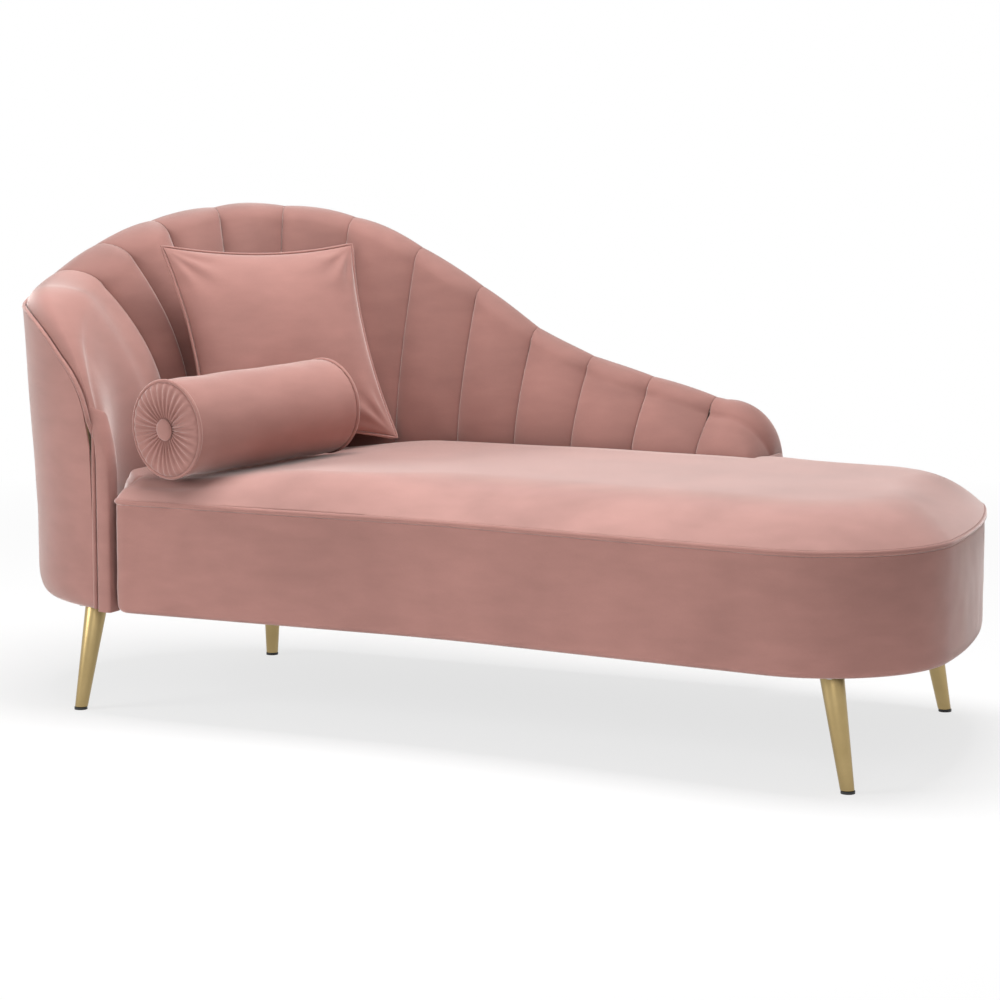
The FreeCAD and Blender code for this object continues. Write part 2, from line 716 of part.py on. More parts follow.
points = [behind_rail(s) for s in (20, 45, 70, 95, 125)]
middle_points = [side_point * (1 - k) + nook_point * k for k in (0.1, 0.9)]
polygon_body("leg_block_front_left", points[::-1] + middle_points[::1], "Sizes.block_height", WOOD_LEVEL)
points = [behind_rail(s) for s in (925, 885, 845, 805)]
head_points = [outside[HEAD_CORNER][0] + outward(h) * outside[HEAD_CORNER][1] for h in (226, 213, 200)]
polygon_body("leg_block_rear_left", points + head_points, "Sizes.block_height", WOOD_LEVEL)

# Spacers between the seat frame and the back's bottom rail
seat_back = seat_rounds(S.wadding - S.clearance)[HEAD_CORNER]
near_y = seat_back[0].y + seat_back[1]
far_y = behind_rail(BACK_RUN - 100).y
spacers = []
for x in (-150, 90, 300):
    spacers.append(Part.makeBox(60, far_y - near_y, S.block_height, Vector(x - 30, near_y, WOOD_Z)))
feature("frame_spacers", Part.makeCompound(spacers))

# Zigzag springs from the front rail to the rear rail
spring_z = RAIL_TOP + S.clearance
spring_front = front_limit - S.rail_thickness / 2
spring_rear = rear_limit + S.rail_thickness / 2


def zigzag(x, y0, y1):
    """Flat wire bent into square turns."""
    turns = int((y1 - y0) / S.spring_step)
    step = (y1 - y0) / turns
    w, half = S.spring_half_width, S.spring_wire / 2
    centre = [Vector(x, y0, 0)]
    for k in range(turns):
        side = w if k % 2 else -w
        low, high = y0 + step * (k + 0.22), y0 + step * (k + 0.78)
        centre += [Vector(x + side, low, 0), Vector(x + side, high, 0)]
    centre.append(Vector(x, y1, 0))
    left, right = [], []
    for k, point in enumerate(centre):
        before = (point - centre[k - 1]).normalize() if k else None
        after = (centre[k + 1] - point).normalize() if k < len(centre) - 1 else None
        along = ((before or after) + (after or before)).normalize()
        across = Vector(-along.y, along.x, 0)
        reach = half / max(0.5, across.dot(Vector(-(after or before).y, (after or before).x, 0)))
        left.append(point + across * reach)
        right.append(point - across * reach)
    loop = left + right[::-1]
    return Part.Face(closed_polygon(loop)).extrude(Vector(0, 0, S.spring_wire))


springs = []
for k in range(int(S.spring_count)):
    x = -380 + 120 * k
    springs.append(zigzag(x, spring_front, spring_rear))
feature("seat_springs", Part.makeCompound(springs), Placement(Vector(0, 0, spring_z), Rotation()))

# Felt over the springs, foam with its crown, velvet top, side band, welt and the cloth underneath
pad_z = spring_z + S.spring_wire + S.clearance
flat_body("spring_pad", [seat_curves(S.wadding)], "Sizes.spring_pad_thickness", "%.3f mm" % pad_z)
foam_z = pad_z + S.spring_pad_thickness + S.clearance
foam_inset = S.welt_radius + 2
foam_rings = []
for z in (foam_z, S.seat_welt_height - 6):
    foam_rings.append([Vector(p.x, p.y, z) - n * foam_inset for p, n, _ in seat_points()])
LEVELS = (0.0, 0.10, 0.25, 0.45, 0.70, 1.0, 1.2)
for share in LEVELS[::2]:
    foam_rings.append(crown_ring(share, foam_inset, S.cover_thickness + 1.3))
feature("seat_foam", skinned(foam_rings))
outer_rings = [crown_ring(share, 0.8, 0.0) for share in LEVELS]
inner_rings = [[p - Vector(0, 0, 5) for p in crown_ring(0.0, 0.8 + S.cover_thickness, 0.0)]]
inner_rings += [crown_ring(share, 0.8 + S.cover_thickness, S.cover_thickness) for share in LEVELS[::2]]
feature("seat_top_cover", skinned(outer_rings).cut(skinned(inner_rings)))

BAND = [(16, 0), (12, 0), (6.5, 1.6), (2.6, 5.4), (0.5, 11), (0, 20)]
band_top = S.seat_welt_height - S.welt_radius - S.clearance


def band_section(point, out):
    """Section of the seat's side band, tucked under at the bottom."""
    t = S.cover_thickness
    pairs = [(d, BASE_Z + z) for d, z in BAND] + [(0, band_top), (t, band_top)]
    pairs += [(t, BASE_Z + 20), (t + 0.5, BASE_Z + 12.2), (t + 2.0, BASE_Z + 7.2), (t + 4.8, BASE_Z + t + 0.6)]
    pairs += [(t + 8.0, BASE_Z + t), (16, BASE_Z + t)]
    return [Vector(point.x, point.y, z) - Vector(out.x, out.y, 0) * d for d, z in pairs]


open_run = seat_points(HEAD_FRONT, HEAD_FRONT) + seat_points(FLARE, NOTCH_CORNER)
feature("seat_boxing", skinned([band_section(point, out) for point, out, _ in open_run]))


def cord(centres, radius, sides=6, closed=False):
    """A round cord: rings of points about each centre, given with its outward and upward directions."""
    rings = []
    for centre, out, up in centres:
        ring = []
        for j in range(sides):
            a = 2 * math.pi * (j + 0.5) / sides
            ring.append(centre + out * (radius * math.cos(a)) + up * (radius * math.sin(a)))
        rings.append(ring)
    return skinned(rings, closed)


lift = Vector(0, 0, S.seat_welt_height)
welt_line = [(point - out * 1.0 + lift, out, Vector(0, 0, 1)) for point, out, _ in open_run]
feature("seat_welt", cord(welt_line, S.welt_radius))

dust_inset = 16 + 1.5
shell_inset = S.shell_tuck + S.cover_thickness + S.clearance
dust = seat_curves(dust_inset, 0, FLARE, NOTCH_CORNER, False)
step = dust[-1].EndPoint
back_y = S.head_centre_y + S.head_radius_y - shell_inset
inner_x = S.back_end_x - 14
ellipse = Part.Ellipse(Vector(-S.head_centre_x, S.head_centre_y, 0),
                       S.head_radius_x - shell_inset, S.head_radius_y - shell_inset)
sweep = Part.ArcOfEllipse(ellipse, math.radians(90), math.radians(246))
dust += [Part.LineSegment(step, Vector(inner_x, step.y, 0)),
         Part.LineSegment(Vector(inner_x, step.y, 0), Vector(inner_x, back_y, 0)),
         Part.LineSegment(Vector(inner_x, back_y, 0), sweep.StartPoint), sweep,
         Part.LineSegment(sweep.EndPoint, Vector(-545, -238, 0)),
         Part.LineSegment(Vector(-545, -238, 0), Vector(-500, -250, 0)),
         Part.LineSegment(Vector(-500, -250, 0), Vector(-496, dust[0].StartPoint.y, 0)),
         Part.LineSegment(Vector(-496, dust[0].StartPoint.y, 0), dust[0].StartPoint)]
dust_body = flat_body("dust_cover", [dust], "Sizes.dust_cover_thickness",
                      "Sizes.leg_height + 1 + Sizes.cover_thickness - Sizes.dust_cover_thickness")
plates = dust_body.newObject("Sketcher::SketchObject", "dust_cover_plates")
plates.AttachmentSupport = (plane_of(dust_body, "XY_Plane"), [""])
plates.MapMode = "FlatFace"


def plate_frame(leg):
    """Placement of a leg's plate: set a little inwards of the leg and turned with it."""
    up, top = leg_place(leg)
    inwards = Vector(up.x, up.y, 0).normalize()
    centre = top + inwards * 5
    return Placement(Vector(centre.x, centre.y, S.leg_height + S.clearance),
                     Rotation(Vector(0, 0, 1), leg[3]))


for leg in LEGS:
    frame = plate_frame(leg)
    half = S.plate_size / 2 + 1.0
    corners = [frame.multVec(Vector(x, y, 0)) for x, y in ((-half, -half), (half, -half), (half, half), (-half, half))]
    for k in range(4):
        a, b = corners[k], corners[(k + 1) % 4]
        plates.addGeometry(Part.LineSegment(Vector(a.x, a.y, 0), Vector(b.x, b.y, 0)), False)
openings = dust_body.newObject("PartDesign::Pocket", "dust_cover_openings")
openings.Profile = plates
openings.Type = 1
openings.Midplane = True

# Back frame: bottom rail, ribs, top rail, board behind the channels and hardboard outside
rail_depth = S.shell_tuck + S.cover_thickness + S.clearance


def bottom_rail_section(s):
    inner = rail_depth + S.rail_thickness
    top = WOOD_Z + S.rail_height / 2
    return [(rail_depth, WOOD_Z), (inner, WOOD_Z), (inner, top), (rail_depth, top)]


ALONG = [9] + [s for s in LONG if 9 < s < 0.57 * BACK_RUN] + [BACK_RUN - 6]
feature("back_bottom_rail", strip(ALONG, bottom_rail_section))
RIB_FOOT = WOOD_Z + S.rail_height / 2 + S.clearance
SKIN = S.cover_thickness + S.panel_thickness + 2 * S.clearance
FIT = 0.8


def top_rail_section(s):
    _, width, out, _, _, under = roll_sizes(s)
    inner = hidden_side(s, S.pad_bottom_height, S.liner_thickness + 3 * FIT)[-1][0]
    top = under - FIT
    low = top - S.top_rail_thickness
    return [(SKIN + FIT - lean(low), low), (inner, low), (inner, top), (SKIN + FIT - lean(top), top)]


def rib_section(s):
    """Section between the hardboard and the board behind the channels."""
    _, _, _, _, _, under = roll_sizes(s)
    top = under - S.top_rail_thickness - 2 * FIT
    inner = hidden_side(s, S.pad_bottom_height, S.liner_thickness + 3 * FIT)
    path = [(SKIN + FIT - lean(z), z) for z in (top, LEAN_START, RIB_FOOT)]
    below = [pair for pair in inner if pair[1] < top - 3]
    low, high = below[-1], inner[len(below)]
    share = (top - low[1]) / (high[1] - low[1])
    cap = (low[0] + (high[0] - low[0]) * share, top)
    return path + [(inner[0][0], RIB_FOOT)] + below + [cap]


RIBS = [LONG[2], LONG[17], LONG[29], LONG[42]]
for k, s in enumerate(RIBS, 1):
    half = S.rib_thickness / 2
    feature("back_rib_%d" % k, strip([s - half, s + half], rib_section))
feature("back_top_rail", strip([s for s in LONG if s > 50], top_rail_section))


def liner_section(s):
    near = hidden_side(s, S.pad_bottom_height, 2 * FIT)
    far = hidden_side(s, S.pad_bottom_height, 2 * FIT + S.liner_thickness)
    low = [(near[0][0], S.pad_bottom_height - 40)]
    high = [(far[0][0], S.pad_bottom_height - 40)]
    top = [(near[-1][0], near[-1][1] - 1.0)]
    top_far = [(far[-1][0], far[-1][1] - 1.0)]
    return low + near[:-1] + top + top_far + far[:-1][::-1] + high


feature("back_liner", strip(LONG + TAIL, liner_section))


def welt_centre(s):
    """Depth and height of the welt along the back's edge."""
    _, _, out, _, drop, _ = roll_sizes(s)
    return out + S.back_welt_radius, crest(s) - 0.8 * drop - 1


def below_welt(s):
    """Highest level at which a cover stays clear of the welt."""
    reach = S.back_welt_radius + S.clearance
    level = 1e6
    for turn in range(-90, 91, 15):
        a = math.radians(turn)
        beside = max(0.0, s + reach * math.sin(a))
        level = min(level, welt_centre(beside)[1] - reach * math.cos(a))
    return level


def panel_section(s):
    top = welt_centre(s)[1] - 14
    foot = BASE_Z + S.shell_round
    skin = S.cover_thickness + S.clearance
    heights = [foot, LEAN_START, top]
    outer = [(skin - lean(z), z) for z in heights]
    inner = [(skin + S.panel_thickness - lean(z), z) for z in heights]
    return outer + inner[::-1]


feature("back_panel", strip(LONG + TAIL[:-1], panel_section))


def shell_section(s):
    """Outside cover of the back, tucked in at the bottom."""
    top = below_welt(s)
    t = S.cover_thickness
    tuck, high = S.shell_tuck, S.shell_round
    foot = BASE_Z + high
    heights = [foot, LEAN_START, top]
    low = [(tuck * (1 - math.sin(a)), BASE_Z + high * (1 - math.cos(a)))
           for a in (math.radians(d) for d in (0, 36, 68))]
    outer = low + [(-lean(z), z) for z in heights]
    inner = [(d + t, z) for d, z in low] + [(t - lean(z), z) for z in heights]
    return outer + inner[::-1]


feature("outside_back_cover", strip([4.2] + LONG[1:] + TAIL + [BACK_RUN - 1.5], shell_section))


def end_section(s):
    depth = padding(BACK_RUN)
    low, top = WOOD_Z + 1, S.end_height
    return [(2, low), (depth, low), (depth, top - 26), (depth - 14, top - 9), (depth - 34, top - 1),
            (26, top - 1), (10, top - 9), (2, top - 30)]


feature("back_end_cover", strip([BACK_RUN + 0.3, BACK_RUN + 0.3 + S.cover_thickness], end_section))

edge = []
for s, z in ((0, BASE_Z + 4), (0, 250), (0, 340), (0, 415)):
    edge.append((s, S.back_welt_radius * 0, z))
edge.append((0.4, 1.0, 445))
for s in [4] + LONG + TAIL[:-1]:
    edge.append((s,) + welt_centre(s))
centres = []
for s, depth, z in edge:
    point, inwards = section_frame(s)
    centres.append(point + inwards * depth + Vector(0, 0, z))
line = []
for k, centre in enumerate(centres):
    along = (centres[min(k + 1, len(centres) - 1)] - centres[max(k - 1, 0)]).normalize()
    out = outer_at(edge[k][0])[1]
    out = (out - along * out.dot(along)).normalize()
    line.append((centre, out, along.cross(out)))
feature("back_welt", cord(line, S.back_welt_radius))

# Padded channels of the back, wrapped round the head end
for k in range(int(S.channel_count)):
    feature("back_channel_%02d" % (k + 1), channel(SEAMS[k], SEAMS[k + 1]))

# Legs with their plates, screws, studs and glides
tilt = math.radians(S.leg_splay)
leg_top = S.leg_height - S.clearance
foot_z = S.glide_height + S.clearance
axis_length = S.leg_height / math.cos(tilt)


def level_ring(along, radius, z, foot, sides):
    """Points round a leg's axis where they reach one level."""
    across = along.cross(Vector(0, 0, 1)).normalize()
    over = along.cross(across)
    ring = []
    for k in range(sides):
        a = 2 * math.pi * k / sides
        side = across * (radius(z) * math.cos(a)) + over * (radius(z) * math.sin(a))
        point = foot + along * (z / along.z) + side
        ring.append(point + along * ((z - point.z) / along.z))
    return ring


def taper(z):
    return S.leg_bottom_radius + (S.leg_top_radius - S.leg_bottom_radius) * z / S.leg_height


def leg_shape(leg):
    """A leaning tapered tube, closed at its top, cut level at both ends."""
    along = leg_place(leg)[0]
    foot = Vector(leg[1], leg[2], 0)
    outer = skinned([level_ring(along, taper, z, foot, 24) for z in (foot_z, leg_top)])
    bore = [level_ring(along, lambda z: taper(z) - S.leg_wall, z, foot, 16) for z in (foot_z - 2, leg_top - 24)]
    return outer.cut(skinned(bore))


def round_bar(radius, low, high, sides=6):
    """A bar along +Z with flat sides."""
    ring = [Vector(radius * math.cos(2 * math.pi * k / sides), radius * math.sin(2 * math.pi * k / sides), 0)
            for k in range(sides)]
    return skinned([[p + Vector(0, 0, z) for p in ring] for z in (low, high)])


def leg_frame(leg):
    """Placement that leans a leg out over its glide."""
    return Placement(Vector(leg[1], leg[2], 0), Rotation(Vector(0, 0, 1), leg_place(leg)[0]))


plates, studs, screws, glides, pilots = [], [], [], [], []
half = S.plate_size / 2
spots = [Vector(x, y, 0) * (S.plate_screw_spacing / 2) for x in (-1, 1) for y in (-1, 1)]
for leg in LEGS:
    frame = leg_frame(leg)
    shape = leg_shape(leg)
    stud = round_bar(S.stud_radius, axis_length - 22, axis_length + 2.6)
    stud.Placement = frame
    studs.append(stud)
    passage = round_bar(S.stud_radius + S.clearance, axis_length - 24, axis_length + 40)
    passage.Placement = frame
    feature("leg_" + leg[0], shape.cut(passage))
    place = plate_frame(leg)
    plate = Part.makeBox(S.plate_size, S.plate_size, S.plate_thickness, Vector(-half, -half, 0))
    for spot in spots:
        hole = round_bar(S.plate_screw_radius + 0.2, -5, S.plate_thickness + 30)
        hole.translate(spot)
        plate = plate.cut(hole)
        hole.Placement = place.multiply(Placement(spot, Rotation()))
        pilots.append(hole)
        screw = round_bar(2 * S.plate_screw_radius, -2.0, -0.2).fuse(round_bar(S.plate_screw_radius, -1, 24))
        screw.Placement = place.multiply(Placement(spot, Rotation()))
        screws.append(screw.removeSplitter())
    plate.Placement = place
    plates.append(plate.cut(passage))
    disc = round_bar(S.glide_radius, 0, S.glide_height, 24)
    plug_radius = taper(0) - S.leg_wall - 1.4
    along = leg_place(leg)[0]
    plug = skinned([level_ring(along, lambda z: plug_radius, z, Vector(0, 0, 0), 12) for z in (1.0, 15.0)])
    glide = disc.fuse(plug)
    glide.translate(Vector(leg[1], leg[2], 0))
    glides.append(glide)
feature("leg_plates", Part.makeCompound(plates))
feature("leg_studs", Part.makeCompound(studs))
feature("leg_screws", Part.makeCompound(screws))
feature("glides", Part.makeCompound(glides))
pilot_shape = Part.makeCompound(pilots)
for obj in COLLECTED:
    if obj.Label in ("back_bottom_rail",):
        obj.Shape = obj.Shape.cut(pilot_shape)
pilot_holes = doc.addObject("Part::Feature", "pilot_holes")
pilot_holes.Shape = pilot_shape
for obj in list(COLLECTED):
    if obj.Label.startswith("leg_block_") or obj.Label == "seat_rail_foot":
        name = obj.Label
        obj.Label = name + "_blank"
        drilled = doc.addObject("Part::Cut", name)
        drilled.Base = obj
        drilled.Tool = pilot_holes
        drilled.Label = name
        COLLECTED[COLLECTED.index(obj)] = drilled


# Square pillow: a drawn-in square with sharp tips, swelling to its middle
def pillow_ring(share, w, inset=0.0):
    """Closed ring of the pillow at a height over its middle plane, in the pillow's own frame."""
    half = (S.pillow_side / 2 - inset) * share
    per_side = 6
    ring = []
    for corner in range(4):
        turn = Rotation(Vector(0, 0, 1), 90 * corner)
        for k in range(per_side):
            x = -1 + 2 * k / per_side
            draw = S.pillow_draw_in * share * math.sin(math.pi * (x + 1) / 2) * (0.4 + 0.6 * share)
            ring.append(turn.multVec(Vector(half * x, -half + draw, w)))
    return ring


PILLOW = [(0.12, 1.0), (0.40, 0.91), (0.64, 0.70), (0.83, 0.41), (0.95, 0.15), (1.0, 0.0)]


def pillow_body(inset, depth, edge):
    rings = [pillow_ring(share, -(depth - edge) * swell_ - edge, inset) for share, swell_ in PILLOW]
    rings += [pillow_ring(share, (depth - edge) * swell_ + edge, inset) for share, swell_ in PILLOW[::-1]]
    return skinned(rings)


pillow_corners = [Vector(-512, -35, 431), Vector(-310, 215, 415), Vector(-420, 280, 718), Vector(-622, 30, 734)]
pillow_u = (pillow_corners[1] - pillow_corners[0] + pillow_corners[2] - pillow_corners[3]).normalize()
pillow_v = (pillow_corners[3] - pillow_corners[0] + pillow_corners[2] - pillow_corners[1])
pillow_n = pillow_u.cross(pillow_v).normalize()
pillow_v = pillow_n.cross(pillow_u)
pillow_centre = sum(pillow_corners, Vector()) * 0.25
pillow_matrix = FreeCAD.Matrix(pillow_u.x, pillow_v.x, pillow_n.x, pillow_centre.x,
                               pillow_u.y, pillow_v.y, pillow_n.y, pillow_centre.y,
                               pillow_u.z, pillow_v.z, pillow_n.z, pillow_centre.z, 0, 0, 0, 1)
PILLOW_PLACE = Placement(pillow_matrix)
half_depth = S.pillow_depth / 2
insert = pillow_body(4.0, half_depth - 2.0, 1.2)
hollow = pillow_body(3.4, half_depth - 1.4, 1.6)
feature("pillow_cover", pillow_body(0.0, half_depth, 2.4).cut(hollow), PILLOW_PLACE)
feature("pillow_insert", insert, PILLOW_PLACE)
rim = pillow_ring(1.0, 0.0, -S.pillow_welt_radius - 0.4)
piping = []
for k, point in enumerate(rim):
    along = (rim[(k + 1) % len(rim)] - rim[k - 1]).normalize()
    piping.append((point, Vector(along.y, -along.x, 0), Vector(0, 0, 1)))
feature("pillow_welt", cord(piping, S.pillow_welt_radius, closed=True), PILLOW_PLACE)

# Round bolster along its own axis, from the near end to the far end
bolster_near = Vector(-428, -284, 463)
bolster_turn, bolster_rise = math.radians(73.5), math.radians(3)
bolster_axis = Vector(math.cos(bolster_turn), math.sin(bolster_turn), math.tan(bolster_rise)).normalize()
BOLSTER_PLACE = Placement(bolster_near, Rotation(Vector(0, 0, 1), bolster_axis))
wall = 1.6
cord_space = S.bolster_welt_radius + 0.8
tube_length = S.bolster_length - 2 * cord_space
tube = Part.makeCylinder(S.bolster_radius, tube_length, Vector(0, 0, cord_space)).cut(
    Part.makeCylinder(S.bolster_radius - wall, tube_length, Vector(0, 0, cord_space)))
feature("bolster_cover", tube, BOLSTER_PLACE)
core_end = 7
core = Part.makeCylinder(S.bolster_radius - wall - S.clearance, S.bolster_length - 2 * core_end,
                         Vector(0, 0, core_end))
feature("bolster_core", core, BOLSTER_PLACE)


def star_ring(radius, ripple, w):
    count = 2 * int(S.bolster_pleats)
    ring = []
    for k in range(count):
        a = math.radians(360 * k / count)
        r = radius - (ripple if k % 2 else 0)
        ring.append(Vector(r * math.cos(a), r * math.sin(a), w))
    return ring


inside = S.bolster_radius - 2 * S.bolster_welt_radius + 0.8
disc = [star_ring(inside, 0, core_end - 0.4), star_ring(inside, 0, 0.5), star_ring(inside - 3, 2.5, -3.5),
        star_ring(0.62 * inside, 4, -7.5), star_ring(S.bolster_button_radius + 6, 3.5, -6.5),
        star_ring(S.bolster_button_radius + 1, 0, -3.6)]
near_end = skinned(disc)
far_end = near_end.mirror(Vector(0, 0, S.bolster_length / 2), Vector(0, 0, 1))
feature("bolster_end_near", near_end, BOLSTER_PLACE)
feature("bolster_end_far", far_end, BOLSTER_PLACE)
buttons = []
profile = [(0.93, -3.9), (1.0, -5.6), (0.86, -8.6), (0.5, -10.6)]
button = []
for share, w in profile:
    radius = S.bolster_button_radius * share
    turns = [math.radians(22.5 * k) for k in range(16)]
    button.append([Vector(radius * math.cos(a), radius * math.sin(a), w) for a in turns])
button = skinned(button)
feature("bolster_buttons", Part.makeCompound([button, button.mirror(Vector(0, 0, S.bolster_length / 2), Vector(0, 0, 1))]),
        BOLSTER_PLACE)
cords = []
for w in (0.4, S.bolster_length - 0.4):
    ring = []
    for k in range(28):
        a = math.radians(360 * k / 28)
        out = Vector(math.cos(a), math.sin(a), 0)
        ring.append((out * (S.bolster_radius - S.bolster_welt_radius / 2) + Vector(0, 0, w),
                     out, Vector(0, 0, 1)))
    cords.append(cord(ring, S.bolster_welt_radius, closed=True))
feature("bolster_welts", Part.makeCompound(cords), BOLSTER_PLACE)

# The plan's middle becomes the origin
doc.recompute()
whole = FreeCAD.BoundBox()
for obj in COLLECTED:
    whole.add(obj.Shape.BoundBox)
middle = Placement(Vector(-whole.Center.x, -whole.Center.y, 0), Rotation())
for obj in COLLECTED:
    obj.Placement = middle.multiply(obj.Placement)
doc.recompute()
for obj in doc.Objects:
    if "Invalid" in obj.State or "Error" in obj.State:
        raise RuntimeError("does not compute: " + obj.Label)
for obj in COLLECTED:
    if obj.Shape.isNull() or not obj.Shape.isValid():
        raise RuntimeError("bad shape: " + obj.Label)
    obj.Shape.exportStep("parts/%s.step" % obj.Label)
print("pieces:", len(COLLECTED), "moved by", middle.Base, "size", whole.XLength, whole.YLength, whole.ZMax)
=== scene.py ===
import math

import bmesh
import bpy
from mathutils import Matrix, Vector, noise


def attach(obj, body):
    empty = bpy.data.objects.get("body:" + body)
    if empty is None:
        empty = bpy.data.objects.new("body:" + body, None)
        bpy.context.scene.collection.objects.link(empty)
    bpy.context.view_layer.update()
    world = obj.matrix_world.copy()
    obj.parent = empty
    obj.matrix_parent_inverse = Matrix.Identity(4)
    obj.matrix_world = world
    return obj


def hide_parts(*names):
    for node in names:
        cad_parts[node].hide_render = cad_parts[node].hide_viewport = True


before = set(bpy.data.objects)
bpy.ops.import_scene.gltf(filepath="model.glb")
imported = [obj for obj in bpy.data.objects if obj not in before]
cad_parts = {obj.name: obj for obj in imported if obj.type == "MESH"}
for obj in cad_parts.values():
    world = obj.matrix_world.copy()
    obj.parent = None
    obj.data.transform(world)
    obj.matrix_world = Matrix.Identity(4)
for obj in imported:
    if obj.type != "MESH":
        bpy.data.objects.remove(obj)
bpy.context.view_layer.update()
bpy.ops.object.select_all(action="DESELECT")

# ---------------------------------------------------------------------------------------------
# View. The chaise is seen from its open front, a little from the foot end and from above the
# seat, with a long lens, as it stands in the photograph.
bpy.ops.object.camera_add(location=(2.01687, -4.31706, 0.975),
                          rotation=(math.radians(82.4), 0, math.radians(24.8)))
view = bpy.context.object
view.name = "view"
view.data.lens = 108
view.data.sensor_width = 36
bpy.context.scene.camera = view
bpy.context.scene.view_settings.view_transform = "Standard"


# ---------------------------------------------------------------------------------------------
# Light and floor. A white room with three large soft boxes: one high in front towards the foot,
# one lower at the left and one overhead. The floor keeps a soft grey shadow and fades to white.
def soft_box(name, place, aim, width, height, power):
    bpy.ops.object.light_add(type="AREA", location=place)
    lamp = bpy.context.object
    lamp.name = name
    lamp.data.shape = "RECTANGLE"
    lamp.data.size = width
    lamp.data.size_y = height
    lamp.data.energy = power
    lamp.rotation_euler = (Vector(aim) - Vector(place)).to_track_quat("-Z", "Y").to_euler()


soft_box("key_box", (1.4, -3.6, 2.0), (0, 0, 0.4), 1.8, 1.4, 26)
soft_box("left_box", (-3.1, -2.7, 1.6), (-0.1, 0, 0.4), 1.5, 1.5, 66)
soft_box("top_box", (0.0, 0.1, 3.0), (0, 0, 0.4), 2.2, 1.2, 104)


def seen_rays(nodes, links):
    """Mask of the rays that show the room: camera, glossy and transmission rays."""
    path = nodes.new("ShaderNodeLightPath")
    glossy = nodes.new("ShaderNodeMath")
    glossy.operation = "MAXIMUM"
    links.new(path.outputs["Is Camera Ray"], glossy.inputs[0])
    links.new(path.outputs["Is Glossy Ray"], glossy.inputs[1])
    through = nodes.new("ShaderNodeMath")
    through.operation = "MAXIMUM"
    links.new(glossy.outputs[0], through.inputs[0])
    links.new(path.outputs["Is Transmission Ray"], through.inputs[1])
    return through.outputs[0]


room = bpy.data.worlds.new("white_room")
room.use_nodes = True
bpy.context.scene.world = room
nodes, links = room.node_tree.nodes, room.node_tree.links
ambient = nodes["Background"]
ambient.inputs["Color"].default_value = (1.0, 0.99, 0.98, 1)
ambient.inputs["Strength"].default_value = 0.26
backdrop = nodes.new("ShaderNodeBackground")
backdrop.inputs["Color"].default_value = (1, 1, 1, 1)
backdrop.inputs["Strength"].default_value = 1.0
mixed = nodes.new("ShaderNodeMixShader")
links.new(seen_rays(nodes, links), mixed.inputs["Fac"])
links.new(ambient.outputs[0], mixed.inputs[1])
links.new(backdrop.outputs[0], mixed.inputs[2])
links.new(mixed.outputs[0], nodes["World Output"].inputs["Surface"])

bpy.ops.mesh.primitive_plane_add(size=60, location=(0, 0, 0))
floor = bpy.context.object
floor.name = "floor"
pale = bpy.data.materials.new("pale_floor")
pale.use_nodes = True
nodes, links = pale.node_tree.nodes, pale.node_tree.links
paint = nodes["Principled BSDF"]
paint.inputs["Base Color"].default_value = (0.86, 0.86, 0.86, 1)
paint.inputs["Roughness"].default_value = 0.9
paint.inputs["Specular IOR Level"].default_value = 0.1
glow = nodes.new("ShaderNodeEmission")
glow.inputs["Color"].default_value = (1, 1, 1, 1)
spot = nodes.new("ShaderNodeTexCoord")
reach = nodes.new("ShaderNodeVectorMath")
reach.operation = "LENGTH"
links.new(spot.outputs["Object"], reach.inputs[0])
fade = nodes.new("ShaderNodeMapRange")
fade.inputs["From Min"].default_value = 1.0
fade.inputs["From Max"].default_value = 3.2
fade.inputs["To Min"].default_value = 0.74
fade.inputs["To Max"].default_value = 1.0
links.new(reach.outputs["Value"], fade.inputs["Value"])
share = nodes.new("ShaderNodeMath")
share.operation = "MULTIPLY"
links.new(fade.outputs[0], share.inputs[0])
links.new(seen_rays(nodes, links), share.inputs[1])
mixed = nodes.new("ShaderNodeMixShader")
links.new(share.outputs[0], mixed.inputs["Fac"])
links.new(paint.outputs[0], mixed.inputs[1])
links.new(glow.outputs[0], mixed.inputs[2])
links.new(mixed.outputs[0], nodes["Material Output"].inputs["Surface"])
floor.data.materials.append(pale)


# ---------------------------------------------------------------------------------------------
# Padded channels of the back. Thirteen fans of velvet over wadding, each stuffed between two
# sewn seams: they roll over the top edge and run down behind the seat. The first one is wider
# and wraps the front edge down to the base.
BASE = 167  # height of the base's underside, in millimetres as all sizes up to the legs
HEAD_X, HEAD_Y = -445, 30  # centre of the head end's half ellipse, about the drawing's centre
HEAD_LONG, HEAD_WIDE = 370, 340
WELT_X = -559  # where the front edge's welt stands
LOW_END_X = 362  # where the back stops, at the low end
NOSE = 32  # how far the first channel's rounded end reaches past the welt
FRONT_TOP, FRONT_SWEEP = 450, 250  # the front edge's height, and the run over which it rises
END_TOP, END_SWEEP = 400, 95  # the same at the low end
# Height of the back's top, against the share of the run from the front welt to the low end
CREST = [(0.138, 668), (0.224, 690), (0.299, 738), (0.362, 771), (0.455, 792), (0.576, 764),
         (0.686, 669), (0.764, 582), (0.822, 540), (0.884, 510), (0.948, 480), (1.0, 455)]


def room_point(p):
    """From millimetres about the drawing's centre to metres about the middle of the plan."""
    return Vector(((p[0] + 11.8736) / 1000, (p[1] - 11.0646) / 1000, p[2] / 1000))


